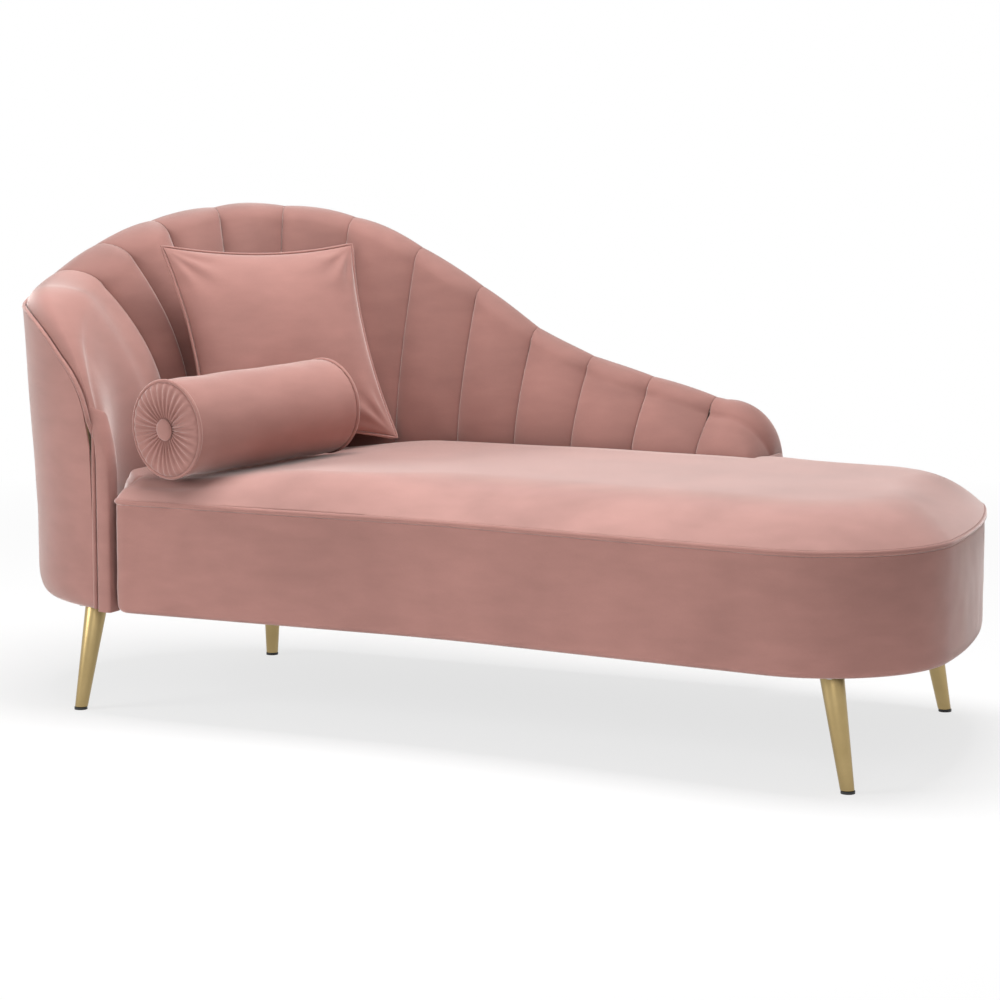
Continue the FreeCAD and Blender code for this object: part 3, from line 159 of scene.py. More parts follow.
def outer_curve():
    """Outside of the back in plan: distance from the front welt, point and outward direction.
    It starts well past the welt, for the first channel's rounded end."""
    start = -math.acos((WELT_X + 2 * NOSE - HEAD_X) / HEAD_LONG)
    welt = -math.acos((WELT_X - HEAD_X) / HEAD_LONG)
    rows, run, before = [], 0.0, None
    for k in range(601):
        t = start + (-1.5 * math.pi - start) * k / 600
        point = Vector((HEAD_X + HEAD_LONG * math.cos(t), HEAD_Y + HEAD_WIDE * math.sin(t), 0))
        out = Vector((math.cos(t) / HEAD_LONG, math.sin(t) / HEAD_WIDE, 0)).normalized()
        run += (point - before).length if before else 0.0
        before = point
        rows.append((t, run, point, out))
    zero = min(rows, key=lambda row: abs(row[0] - welt))[1]
    rows = [(run - zero, point, out) for _, run, point, out in rows]
    last = rows[-1]
    end = Vector((LOW_END_X, last[1].y, 0))
    rows.append((last[0] + (end - last[1]).length, end, Vector((0, 1, 0))))
    return rows


OUTER = outer_curve()
RUN = OUTER[-1][0]


def outer_at(s):
    """Point and outward direction of the back's outside at a distance from the front welt."""
    low, high = 0, len(OUTER) - 1
    while high - low > 1:
        middle = (low + high) // 2
        if OUTER[middle][0] <= s:
            low = middle
        else:
            high = middle
    s0, p0, n0 = OUTER[low]
    s1, p1, n1 = OUTER[high]
    t = (s - s0) / (s1 - s0)
    return p0 + (p1 - p0) * t, (n0 + (n1 - n0) * t).normalized()


def crest_curve(at):
    """A smooth curve through the CREST heights, level at its start."""
    k = max(i for i, (x, _) in enumerate(CREST[:-1]) if x <= max(at, CREST[0][0]))

    def slope(i):
        i0, i1 = max(i - 1, 0), min(i + 1, len(CREST) - 1)
        return (CREST[i1][1] - CREST[i0][1]) / (CREST[i1][0] - CREST[i0][0])

    (x0, y0), (x1, y1) = CREST[k], CREST[k + 1]
    span = x1 - x0
    t = (at - x0) / span
    m0 = (0.0 if k == 0 else slope(k)) * span
    m1 = slope(k + 1) * span
    return (y0 * (1 + 2 * t) * (1 - t) ** 2 + m0 * t * (1 - t) ** 2
            + y1 * t * t * (3 - 2 * t) + m1 * t * t * (t - 1))


def crest(s):
    """Height of the back's top: a quarter round from the front, a sweep, a round at the low end."""
    if s < 0:
        return FRONT_TOP - 20 * (s / NOSE) ** 2
    if s < FRONT_SWEEP:
        rise = crest_curve(FRONT_SWEEP / RUN) - FRONT_TOP
        return FRONT_TOP + rise * math.sqrt(1 - (1 - s / FRONT_SWEEP) ** 2)
    if s <= RUN - END_SWEEP:
        return crest_curve(s / RUN)
    done = min(1.0, (s - RUN + END_SWEEP) / END_SWEEP)
    return END_TOP + (crest_curve((RUN - END_SWEEP) / RUN) - END_TOP) * math.sqrt(1 - done * done)


def hump(at, centre, width):
    """A smooth rise from 0 to 1 at the centre and back to 0."""
    return 0.5 * (1 + math.cos(math.pi * max(-1.0, min(1.0, (at - centre) / width))))


def front_taper(s):
    """Share of the full stuffing that is left towards the thin front edge."""
    done = max(0.0, min(1.0, (max(s, 0.0) + NOSE) / FRONT_SWEEP))
    return 0.10 + 0.90 * math.sin(0.5 * math.pi * done)


def padding(s):
    """Thickness of the back at the seat: most round the head end."""
    return front_taper(s) * (112 + 108 * hump(s / RUN, 0.30, 0.36))


def roll_width(s):
    """Thickness of the padded roll along the top."""
    return max(24.0, front_taper(s) * (60 + 60 * hump(s / RUN, 0.30, 0.36)))


def lean(z):
    """How far the outside leans out at a height."""
    return 20 * max(0.0, (z - 300) / 360)


def section_frame(s):
    """Outer point and the inward step of the back's section: sections fan out round the head end."""
    point, out = outer_at(s)
    if s < 0:
        ahead = section_frame(0.0)[1]
        return point, (ahead * (1 + s / NOSE) + Vector((0, -s / NOSE, 0))).normalized()
    low = s if s > RUN else min(s + 30 * hump(s / RUN, 0.46, 0.20), RUN)
    low_point, low_out = outer_at(low)
    return point, (low_point - low_out * padding(low) - point) / padding(s)


def placed(s, pairs):
    """Points in the room of a section's pairs of depth behind the outside and height."""
    point, inwards = section_frame(s)
    return [point + inwards * depth + Vector((0, 0, z)) for depth, z in pairs]


def roll_sizes(s):
    """Of the roll: top, width, depths of the outside and of the welt's side, drop, underside."""
    top, width = crest(s), roll_width(s)
    out = -lean(top)
    drop = 36 * min(1.0, width / 45)
    return top, width, out, out + 8.1, drop, top - 0.8 * drop - 5


ROLL_TURNS = [-90 + 165 * k / 20 for k in range(21)]  # degrees round the roll, from the welt
SLOPE_STEPS = 34
SLOPE_FOOT = 395  # the face is upright below this height


def face_path(s, bulge, bottom):
    """Visible side of a channel: from the welt over the roll and down the slope."""
    top, width, out, welt_side, drop, _ = roll_sizes(s)
    middle = max(out + 0.42 * width, welt_side + 1.5)
    path = []
    for angle in ROLL_TURNS:
        a = math.radians(angle)
        if angle < 0:
            depth = welt_side + (middle - welt_side) * (1 + math.sin(a))
            height = top - 0.8 * drop * (1 - math.cos(a))
        else:
            depth = middle + (out + 1.02 * width - middle) * math.sin(a)
            height = top - drop * (1 - math.cos(a))
        swollen = bulge * (1 + math.sin(a)) / 2
        path.append((depth + swollen * max(0.0, math.sin(a)), height + 0.35 * swollen))
    roll_depth, roll_height = path[-1]
    roll_depth -= bulge
    slope_height = max(roll_height - SLOPE_FOOT, 30)
    fullness = 1.5 + 1.0 * hump(s / RUN, 0.30, 0.36) + 2.6 * max(0.0, 1 - max(s, 0.0) / 210) ** 2
    for k in range(1, SLOPE_STEPS + 1):
        z = roll_height + (bottom - roll_height) * k / SLOPE_STEPS
        done = min(1.0, (roll_height - z) / slope_height)
        reach = (padding(s) - roll_depth) * (1 - (1 - done) ** fullness)
        path.append((roll_depth + reach + bulge, z))
    return path


def channel_section(s, bulge, bottom):
    """Closed section of a channel: its face, its flat back on the liner, the roll's underside."""
    _, width, out, welt_side, _, under = roll_sizes(s)
    wadding = 36 * front_taper(s)
    back = [(d - wadding, z) for d, z in face_path(s, 0.0, bottom)[len(ROLL_TURNS)::3]]
    roll_foot = [(out + width - 0.8 * wadding, under), (welt_side, under)]
    return face_path(s, bulge, bottom) + back[::-1] + roll_foot


TURN_OVER = 24  # height of the rounded end's own roll


def nose_section(s, groove):
    """Closed section of the first channel's rounded end, past the welt of the front edge."""
    round_off = math.sqrt(max(0.0, 1 - (s / NOSE) ** 4))
    top = 396 + 92 * (1 + s / NOSE) ** 0.6
    depth = 27 + 7 * round_off
    outside = 5 * (1 - round_off) ** 1.5 - 2.6 * (1 + s / NOSE) ** 2
    path = []
    for angle in ROLL_TURNS:
        a = math.radians(angle)
        path.append((outside + (depth - outside) / 2 * (1 + math.sin(a)),
                     top - TURN_OVER * (1 - math.cos(a))))
    for k in range(1, SLOPE_STEPS + 1):
        path.append((depth, top - TURN_OVER + (BASE + TURN_OVER - top) * k / SLOPE_STEPS))
    count = len(channel_section(10, 0, 350)) - len(path)
    for k in range(count):
        z = BASE + (top - BASE - 26) * min(0.99, k / (count - 1))
        fade = max(0.0, min(1.0, (z - 405) / 40))
        tuck = 5 * (1 - round_off) ** 1.5
        path.append((groove * (1 - fade) + outside * fade + (1 - fade) * tuck, z))
    return path


def sewn(name, rings, closed=False, crease=50):
    """A closed skin through rings of points in millimetres, with its ends filled."""
    bm = bmesh.new()
    rows = [[bm.verts.new(room_point(p)) for p in ring] for ring in rings]
    around = len(rings[0])
    for low, high in zip(rows, rows[1:] + rows[:1] if closed else rows[1:]):
        for k in range(around):
            n = (k + 1) % around
            bm.faces.new((low[k], low[n], high[n], high[k]))
    if not closed:
        for row in (rows[0], rows[-1]):
            bmesh.ops.triangulate(bm, faces=[bm.faces.new(row)])
    bmesh.ops.remove_doubles(bm, verts=bm.verts, dist=0.00002)
    bmesh.ops.recalc_face_normals(bm, faces=bm.faces)
    mesh = bpy.data.meshes.new(name)
    bm.to_mesh(mesh)
    bm.free()
    piece = bpy.data.objects.new(name, mesh)
    bpy.context.scene.collection.objects.link(piece)
    bpy.ops.object.select_all(action="DESELECT")
    piece.select_set(True)
    bpy.context.view_layer.objects.active = piece
    bpy.ops.object.shade_smooth_by_angle(angle=math.radians(crease))
    piece.select_set(False)
    return piece


def unevenness(point, size, amount):
    """How far hand-stuffed cloth stands out at a place, smooth over a patch of that size."""
    return amount * noise.noise(Vector(point) / size)


def add_group(name, inputs, outputs):
    """An empty group of shader nodes with named sockets."""
    group = bpy.data.node_groups.new(name, "ShaderNodeTree")
    for label, kind, value in inputs:
        socket = group.interface.new_socket(name=label, in_out="INPUT", socket_type=kind)
        socket.default_value = value
    for label, kind in outputs:
        group.interface.new_socket(name=label, in_out="OUTPUT", socket_type=kind)
    start = group.nodes.new("NodeGroupInput")
    end = group.nodes.new("NodeGroupOutput")
    return group, start, end


def pile_group():
    """Brushed pile: patches where the nap lies the other way, fine mottle, and a bump of fibres."""
    group, start, end = add_group(
        "brushed_pile",
        [("Deep", "NodeSocketColor", (0.3, 0.15, 0.13, 1)),
         ("Mid", "NodeSocketColor", (0.5, 0.3, 0.25, 1)),
         ("Light", "NodeSocketColor", (0.6, 0.4, 0.35, 1)), ("Patch", "NodeSocketFloat", 5.0),
         ("Fibre", "NodeSocketFloat", 1600.0), ("Depth", "NodeSocketFloat", 0.0004)],
        [("Color", "NodeSocketColor"), ("Roughness", "NodeSocketFloat"), ("Normal", "NodeSocketVector")])
    nodes, links = group.nodes, group.links
    place = nodes.new("ShaderNodeTexCoord")
    patches = nodes.new("ShaderNodeTexNoise")
    patches.inputs["Detail"].default_value = 3.0
    patches.inputs["Roughness"].default_value = 0.55
    patches.inputs["Distortion"].default_value = 0.6
    links.new(place.outputs["Object"], patches.inputs["Vector"])
    links.new(start.outputs["Patch"], patches.inputs["Scale"])
    strokes = nodes.new("ShaderNodeMapping")
    strokes.inputs["Scale"].default_value = (1.0, 1.0, 3.2)
    strokes.inputs["Rotation"].default_value = (0.35, 0.2, 0.5)
    links.new(place.outputs["Object"], strokes.inputs["Vector"])
    brushed = nodes.new("ShaderNodeTexNoise")
    brushed.inputs["Scale"].default_value = 14.0
    brushed.inputs["Detail"].default_value = 4.0
    links.new(strokes.outputs[0], brushed.inputs["Vector"])
    both = nodes.new("ShaderNodeMix")
    both.inputs["Factor"].default_value = 0.35
    links.new(patches.outputs["Fac"], both.inputs["A"])
    links.new(brushed.outputs["Fac"], both.inputs["B"])
    ramp = nodes.new("ShaderNodeMapRange")
    ramp.inputs["From Min"].default_value = 0.32
    ramp.inputs["From Max"].default_value = 0.68
    links.new(both.outputs["Result"], ramp.inputs["Value"])
    shade = nodes.new("ShaderNodeMix")
    shade.data_type = "RGBA"
    links.new(ramp.outputs[0], shade.inputs["Factor"])
    links.new(start.outputs["Deep"], shade.inputs["A"])
    links.new(start.outputs["Light"], shade.inputs["B"])
    level = nodes.new("ShaderNodeMix")
    level.data_type = "RGBA"
    level.inputs["Factor"].default_value = 0.35
    links.new(shade.outputs["Result"], level.inputs["A"])
    links.new(start.outputs["Mid"], level.inputs["B"])
    fibres = nodes.new("ShaderNodeTexNoise")
    fibres.inputs["Detail"].default_value = 2.0
    links.new(place.outputs["Object"], fibres.inputs["Vector"])
    links.new(start.outputs["Fibre"], fibres.inputs["Scale"])
    grain = nodes.new("ShaderNodeMapRange")
    grain.inputs["From Min"].default_value = 0.25
    grain.inputs["From Max"].default_value = 0.75
    grain.inputs["To Min"].default_value = 0.93
    grain.inputs["To Max"].default_value = 1.07
    links.new(fibres.outputs["Fac"], grain.inputs["Value"])
    speckled = nodes.new("ShaderNodeVectorMath")
    speckled.operation = "SCALE"
    links.new(level.outputs["Result"], speckled.inputs[0])
    links.new(grain.outputs[0], speckled.inputs["Scale"])
    bump = nodes.new("ShaderNodeBump")
    bump.inputs["Strength"].default_value = 0.35
    links.new(start.outputs["Depth"], bump.inputs["Distance"])
    links.new(fibres.outputs["Fac"], bump.inputs["Height"])
    rough = nodes.new("ShaderNodeMapRange")
    rough.inputs["To Min"].default_value = 0.72
    rough.inputs["To Max"].default_value = 0.9
    links.new(both.outputs["Result"], rough.inputs["Value"])
    links.new(speckled.outputs[0], end.inputs["Color"])
    links.new(rough.outputs[0], end.inputs["Roughness"])
    links.new(bump.outputs[0], end.inputs["Normal"])
    return group


PILE = pile_group()


def velvet(name, deep, mid, light, patch=5.0):
    """Short cut pile in dusty pink, lighter where it is seen along the fibres."""
    cloth = bpy.data.materials.new(name)
    cloth.use_nodes = True
    nodes, links = cloth.node_tree.nodes, cloth.node_tree.links
    skin = nodes["Principled BSDF"]
    pile = nodes.new("ShaderNodeGroup")
    pile.node_tree = PILE
    pile.inputs["Deep"].default_value = deep
    pile.inputs["Mid"].default_value = mid
    pile.inputs["Light"].default_value = light
    pile.inputs["Patch"].default_value = patch
    for label in ("Roughness", "Normal"):
        links.new(pile.outputs[label], skin.inputs[label])
    links.new(pile.outputs["Color"], skin.inputs["Base Color"])
    skin.inputs["Specular IOR Level"].default_value = 0.12
    skin.inputs["Sheen Weight"].default_value = 1.0
    skin.inputs["Sheen Roughness"].default_value = 0.34
    skin.inputs["Sheen Tint"].default_value = (1.0, 0.89, 0.86, 1)
    return cloth


def dusty_pink(name, level, grey, patch):
    """The same cloth in lit and shaded copies, with painted shade or painted sheen: a level of lightness
    and of greyness.
    """
    tones = []
    for step in (0.80, 1.0, 1.22):
        pink = [channel * level * step for channel in (0.385, 0.192, 0.166)]
        mean = sum(pink) / 3
        tones.append((*[channel + (mean - channel) * grey for channel in pink], 1))
    return velvet(name, *tones, patch=patch)


# Level, greyness and size of the brushed patches. The levels are painted light: a darker copy is painted
# shade for the back's channels, and a lighter, greyer copy is painted sheen for the seat's top
LIT_AND_SHADED_VELVETS = {"down": dusty_pink("velvet_painted_shade", 0.74, 0.0, 6.0),
           "side": dusty_pink("velvet_plain_copy", 1.0, 0.04, 3.5),
           # The last copy is lighter and greyer: painted sheen, for the seat's top
           "painted_sheen_copy": dusty_pink("velvet_painted_sheen", 1.16, 0.16, 4.5)}


def upholstered(piece, body, fill, *nodes, nap="side"):
    """A stuffed piece in velvet that rides on a body and stands for these solids; nap picks the copy of
    the velvet, plain or with painted shade or painted sheen.
    """
    piece.data.materials.append(LIT_AND_SHADED_VELVETS[nap])
    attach(piece, body)
    if nodes:
        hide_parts(*nodes)
    return piece


def seam_runs():
    """Where the seams between the channels lie along the back's run."""
    first = 0.224 * RUN
    widths = [1.0 + 0.18 * hump(k / 12, 0.36, 0.30) - 0.10 * hump(k / 12, 0.60, 0.25)
              for k in range(12)]
    scale = (RUN - first) / sum(widths)
    runs = [-NOSE, first]
    for width in widths:
        runs.append(runs[-1] + width * scale)
    return runs


SEAMS = seam_runs()
# Depth behind the outside at which the rounded end's skin dips under the front welt
WELT_GROOVE = [(-31.2, -0.2), (-30.3, -0.4), (-29, -0.6), (-27, -0.9), (-24, -1.2), (-20, -1.6),
               (-15, -1.7), (-10.5, -1.3), (-7.5, -0.8), (-5.4, 0.0), (-4.4, 1.4), (-3.8, 3.6),
               (-3.0, 5.4), (-1, 6.0)]


def channel_rings(start, end, number):
    """Sections of one channel from seam to seam, with the puckers that its stitches draw in."""
    start, end = start + 0.3, end - 0.3
    rings = []
    if number == 0:
        for s, groove in [(start, 0.0)] + WELT_GROOVE:
            rings.append(placed(s, nose_section(s, groove)))
        start = 5.0
        shares = [0, 0.005, 0.012] + [0.02 + 0.96 * (k / 46) for k in range(47)] + [0.992, 1.0]
    else:
        shares = [0.5 - 0.5 * math.cos(math.pi * k / 22) for k in range(23)]
    for share in shares:
        s = start + (end - start) * share
        across = math.sin(math.pi * share) ** 0.7
        bulge = (17 + 11 * hump(s / RUN, 0.26, 0.32)) * across * front_taper(s)
        bottom = BASE if s <= 5.0 else 350 - 150 * max(0.0, 1 - (s - 5) / 110)
        ring = channel_section(s, bulge, bottom)
        soft = []
        length = 0.0
        for k, (depth, z) in enumerate(ring):
            if k:
                length += math.hypot(depth - ring[k - 1][0], z - ring[k - 1][1])
            if 2 < k < len(ROLL_TURNS) + SLOPE_STEPS:
                ease = min(1.0, (k - 2) / 8) * front_taper(s)
                near = (1 - math.sin(math.pi * share)) ** 2
                stitch = unevenness((length, number * 77 + round(share) * 31, 0), 17, 1.3)
                pucker = stitch * near * math.sqrt(across)
                slack = unevenness((s * 1.2, length, number * 13), 120, 1.3) * across
                depth += ease * (pucker + slack)
            soft.append((depth, z))
        rings.append(placed(s, soft))
    return rings


for number in range(13):
    label = "channel_%02d" % (number + 1)
    channel = sewn(label, channel_rings(SEAMS[number], SEAMS[number + 1], number))
    # Channels past the first get the darker copy of the velvet: painted shade in the back's recess
    upholstered(channel, "frame", 0.7, "back_" + label, nap="side" if number == 0 else "down")


# ---------------------------------------------------------------------------------------------
# Welt of the back. A thin cord in velvet, sewn between the channels and the outside cover: up
# the front edge, over the head end and down to the low end of the back.
WELT_RADIUS = 3.6


def piping(name, line, radius, sides=12, closed=False):
    """A covered cord along a line of points in millimetres, each with its outward direction."""
    rings = []
    count = len(line)
    for k, (centre, out) in enumerate(line):
        before = line[k - 1 if closed or k else 0][0]
        after = line[(k + 1) % count if closed else min(k + 1, count - 1)][0]
        along = (after - before).normalized()
        out = (out - along * out.dot(along)).normalized()
        up = along.cross(out)
        turns = [2 * math.pi * (j + 0.5) / sides for j in range(sides)]
        rings.append([centre + out * (radius * math.cos(a)) + up * (radius * math.sin(a))
                      for a in turns])
    return sewn(name, rings, closed)


def welt_centre(s):
    """Depth and height of the welt's middle along the top."""
    _, _, out, _, drop, _ = roll_sizes(s)
    return out + WELT_RADIUS, crest(s) - 0.8 * drop - 1


edge = [(0, 0.0, 171 + 244 * k / 20) for k in range(21)]
edge += [(0.1, 0.3, 428), (0.6, 1.2, 440), (2.0, 1.8, 449)]
along_top = [4, 6, 9, 13, 18, 24, 31, 39]
along_top += [s for s in (48 + (RUN - 110) * k / 200 for k in range(201)) if s < RUN - 96]
along_top += [RUN - c for c in (92, 84, 76, 68, 60, 52, 44, 37, 30, 24, 19, 15, 11)]
edge += [(s, *welt_centre(s)) for s in along_top]
line = []
for s, depth, z in edge:
    point, inwards = section_frame(s)
    line.append((point + inwards * depth + Vector((0, 0, z)), outer_at(s)[1]))
upholstered(piping("back_piping", line, WELT_RADIUS), "frame", None, "back_welt")


# ---------------------------------------------------------------------------------------------
# Outside of the back. One piece of velvet stretched over the hardboard, held by the welt at its
# top and tucked under the base, with a small panel that closes the low end of the back.
UNDER_ROUND = (16, 45)  # how far in and up the cover rounds at the base
CLOTH = 2.2  # thickness of the velvet with its wadding


def below_welt(s):
    """Height at which the cover meets the welt, which slopes with the crest."""
    reach, levels = WELT_RADIUS + 0.3, []
    for turn in range(-90, 91, 15):
        a = math.radians(turn)
        levels.append(welt_centre(max(0.0, s + reach * math.sin(a)))[1] - reach * math.cos(a))
    return min(levels)


def outside_section(s):
    """Closed section of the cover: its outer face, hardly uneven, and its inner one."""
    top, outer = below_welt(s), []
    for k in range(9):
        a = math.radians(90 * k / 8)
        outer.append((UNDER_ROUND[0] * (1 - math.sin(a)), BASE + UNDER_ROUND[1] * (1 - math.cos(a))))
    start = BASE + UNDER_ROUND[1]
    outer += [(-lean(z), z) for z in (start + (top - start) * k / 22 for k in range(1, 23))]
    inner = [(d + CLOTH, max(z, BASE + 0.6)) for d, z in outer]
    soft = []
    for k, (depth, z) in enumerate(outer):
        hold = min(1.0, k / 6, (len(outer) - 1 - k) / 6)
        soft.append((depth - hold * abs(unevenness((s, z, 5), 210, 2.2)), z))
    return soft + inner[::-1]


runs = [2.6 + (RUN - 4.1) * (k / 190) for k in range(191)]
outside = sewn("outside_back", [placed(s, outside_section(s)) for s in runs])
upholstered(outside, "frame", None, "outside_back_cover")
end_depth = padding(RUN)
outline = [(2, 171), (end_depth, 171), (end_depth, 374)]
for centre, reach, turns in ((end_depth - 34, 34, (0.2, 0.5, 0.8, 1.1, 1.4, 1.57)),
                             (26, 24, (1.7, 2.0, 2.3, 2.6, 2.9))):
    outline += [(centre + reach * math.cos(a), 373 + 25 * math.sin(a)) for a in turns]
outline.append((2, 369))
centre, level = sum(d for d, _ in outline) / len(outline), 300
rings = []
for past, shrink in ((0.3, 1.0), (1.8, 1.0), (2.8, 0.985), (3.2, 0.94), (3.4, 0.5)):
    rings.append(placed(RUN + past, [(centre + (d - centre) * shrink, level + (z - level) * shrink)
                                     for d, z in outline]))
panel = upholstered(sewn("end_panel", rings), "frame", None, "back_end_cover")


# ---------------------------------------------------------------------------------------------
# Seat. A foam cushion with a soft crown, covered in one piece of velvet, pressed against the
# back on its rear and head sides and held down under the bolster and the pillow.
def outward(heading):
    """Level direction, in degrees anticlockwise from the front."""
    h = math.radians(heading)
    return Vector((math.sin(h), -math.cos(h), 0))


# Rounds of the plan, anticlockwise from the front: centre, radius, first and last heading, and
# how far in the crown rises; a radius below nothing is a hollow
ROUNDS = [((-47.79, -1803.0), -1500, 0, -7, 150), ((610, -171), 200, -7, 90, 150),
          ((-390, -171), 1200, 90, 108.5, 150), ((577.29, 152.65), 180, 108.5, 180, 150),
          ((419.5, 282.65), 50, 180, 270, 75), ((357.5, 248), -12, 270, 180, 14),
          ((-343, 6), 230, 180, 270, 14), ((-493, -159.7), 80, 270, 302, 14),
          ((-537.4, -267.93), -15, 302, 270, 14), ((-497.4, -278), 25, 270, 360, 75)]
SEAM_LEVEL, CROWN = 350.8, 54.2  # height of the cushion's edge above the floor, rise to its top


def seat_line(first, last, step):
    """Points along the seat's plan with their outward direction and the reach of the crown."""
    points = []
    for i in range(first, last + 1):
        (x, y), radius, start, end, crown = ROUNDS[i % 10]
        turns = max(3, math.ceil(abs(math.radians(end - start) * radius) / step))
        for k in range(turns + 1):
            out = outward(start + (end - start) * k / turns)
            spot = Vector((x, y, 0)) + out * radius
            if not points or (spot - points[-1][0]).length > 0.4:
                points.append((spot, out, crown))
        (x, y), radius, start, _, _ = ROUNDS[(i + 1) % 10]
        here, out, _ = points[-1]
        target = Vector((x, y, 0)) + outward(start) * radius
        pieces = max(1, round((target - here).length / step))
        if i < last or last - first == 9:
            points += [(here + (target - here) * (k / pieces), out, crown) for k in range(1, pieces)]
    return points


whole = seat_line(0, 9, 10)
for _ in range(60):  # evens out the crown's reach from one side to the next
    crowns = [crown for _, _, crown in whole]
    whole = [(p, out, (crowns[k - 1] + 2 * crowns[k] + crowns[(k + 1) % len(whole)]) / 4)
             for k, (p, out, _) in enumerate(whole)]


def crown_ring(share, inset=0.8):
    """The plan drawn in: to a share of the crown's rise, and past 1 on towards its middle."""
    ring = []
    for point, out, crown in whole:
        middle = Vector((min(max(point.x, -369), 560), -25, 0))
        inwards = (middle - point).normalized()
        moved = point - out * inset + inwards * (min(share, 1.0) * crown)
        if share > 1.0:
            moved += (middle - moved) * (share - 1.0)
        pressed = max(0.0, min(1.0, (-190 - moved.x) / 250))
        fall = 24 * pressed * pressed * (3 - 2 * pressed) * min(1.0, share * 2)
        height = SEAM_LEVEL + CROWN * (1 - (1 - min(share, 1.0)) ** 2.2) - fall
        height += min(1.0, share * 3) * unevenness((moved.x, moved.y, 0), 190, 1.6)
        ring.append(Vector((moved.x, moved.y, height)))
    return ring


rings = [[p - Vector((0, 0, drop)) for p in crown_ring(0.0, inset)]
         for drop, inset in ((16, 7.0), (7, 5.0))]
rings += [crown_ring(share) for share in (
    0, 0.02, 0.05, 0.09, 0.14, 0.2, 0.27, 0.35, 0.44, 0.54, 0.65, 0.77, 0.9, 1.0, 1.12, 1.25, 1.4,
    1.55, 1.7, 1.85, 1.95)]
# The seat's cushion gets the lighter, greyer copy of the velvet: painted sheen on its top
upholstered(sewn("seat_cushion", rings, crease=70), "frame", 0.9,
            "seat_top_cover", "seat_foam", "spring_pad", nap="painted_sheen_copy")


# ---------------------------------------------------------------------------------------------
# Side band and welt of the seat. The band is one strip of velvet, stretched round the open
# sides and tucked under the base; the welt joins it to the cushion's top.
# The band's outer side: depth in from the plan and height over the base
BAND = [(16, 0), (13.5, 0.1), (11, 0.5), (8.6, 1.1), (6.5, 2.0), (4.4, 3.6), (2.6, 5.8),
        (1.2, 8.4), (0.5, 11.4), (0.1, 15)] + [(0, 20 + 154.2 * k / 22) for k in range(23)]


def band_section(point, out, along):
    """Closed section of the band, a little uneven where nothing holds it."""
    pairs = []
    for k, (depth, z) in enumerate(BAND):
        hold = min(1.0, k / 12, (len(BAND) - 1 - k) / 4)
        ripple = unevenness((along, z * 0.7, 3), 120, 1.8) + unevenness((along, z, 9), 38, 0.7)
        pairs.append((depth - hold * max(-0.4, ripple), BASE + z))
    pairs += [(CLOTH, 341.2), (CLOTH, 187), (5, 172), (16, 169.2)]
    return [Vector((point.x, point.y, z)) - Vector((out.x, out.y, 0)) * d for d, z in pairs]


open_run = [(Vector((-522.4, -268, 0)), outward(270), 75)] + seat_line(9, 14, 9)
rings, along, before = [], 0.0, None
for point, out, _ in open_run:
    along += (point - before).length if before else 0.0
    before = point
    rings.append(band_section(point, out, along))
band = upholstered(sewn("seat_band", rings), "frame", None, "seat_boxing")
line = [(point - out * 1.0 + Vector((0, 0, 346)), out) for point, out, _ in open_run]
upholstered(piping("seat_piping", line, 4.5), "frame", None, "seat_welt")


# ---------------------------------------------------------------------------------------------
# Square pillow. Two squares of velvet over a fibre pad, piped all round: plump in the middle,
# drawn in along its sides, with sharp corners and folds that run out from them.
PILLOW_HALF = 172.5
DRAWN_IN = 17  # how far the sides curve in between the corners
PILLOW_CORD = 2.6  # radius of the piping
PILLOW_CENTRE = Vector((-466, 122.5, 574.5))
PILLOW_U = Vector((0.62770, 0.77686, -0.04972))  # along its lower edge
PILLOW_V = Vector((-0.27177, 0.27854, 0.92117))  # up its face
PILLOW_N = Vector((0.72947, -0.56471, 0.38597))  # out of its face


def racked(x, y):
    """The pillow leans: its lower edge has slid to the right and its left corner has dropped."""
    u, v = x / PILLOW_HALF, y / PILLOW_HALF
    return x + 15 - 20 * v, y - 3.5 * (1 - u) * (1 + v)


def pillow_point(u, v, side):
    """A point of the pillow's front or back at a place between -1 and 1 each way."""
    x = u * PILLOW_HALF - math.copysign(DRAWN_IN * (1 - v * v) * abs(u) ** 1.5, u)
    y = v * PILLOW_HALF - math.copysign(DRAWN_IN * (1 - u * u) * abs(v) ** 1.5, v)
    fall = max(0.0, (1 - abs(u) ** 2.4) * (1 - abs(v) ** 2.4))
    w = 2.2 + 49.5 * fall ** 0.62
    for cu, cv in ((-1, -1), (1, -1), (1, 1), (-1, 1)):
        du, dv = 1 - u * cu, 1 - v * cv
        near = math.exp(-((math.hypot(du, dv) - 0.28) / 0.24) ** 2)
        fold = math.sin(math.atan2(dv, du) * 11 + 2.1 * cu + 0.7 * cv + side) * near
        w += fold * 2.4 * min(1.0, fall * 6)
    w += unevenness((u * 100, v * 100, 40 * side), 62, 3.2) * min(1.0, fall * 3)
    x, y = racked(x, y)
    return PILLOW_CENTRE + PILLOW_U * x + PILLOW_V * y + PILLOW_N * (w * side)


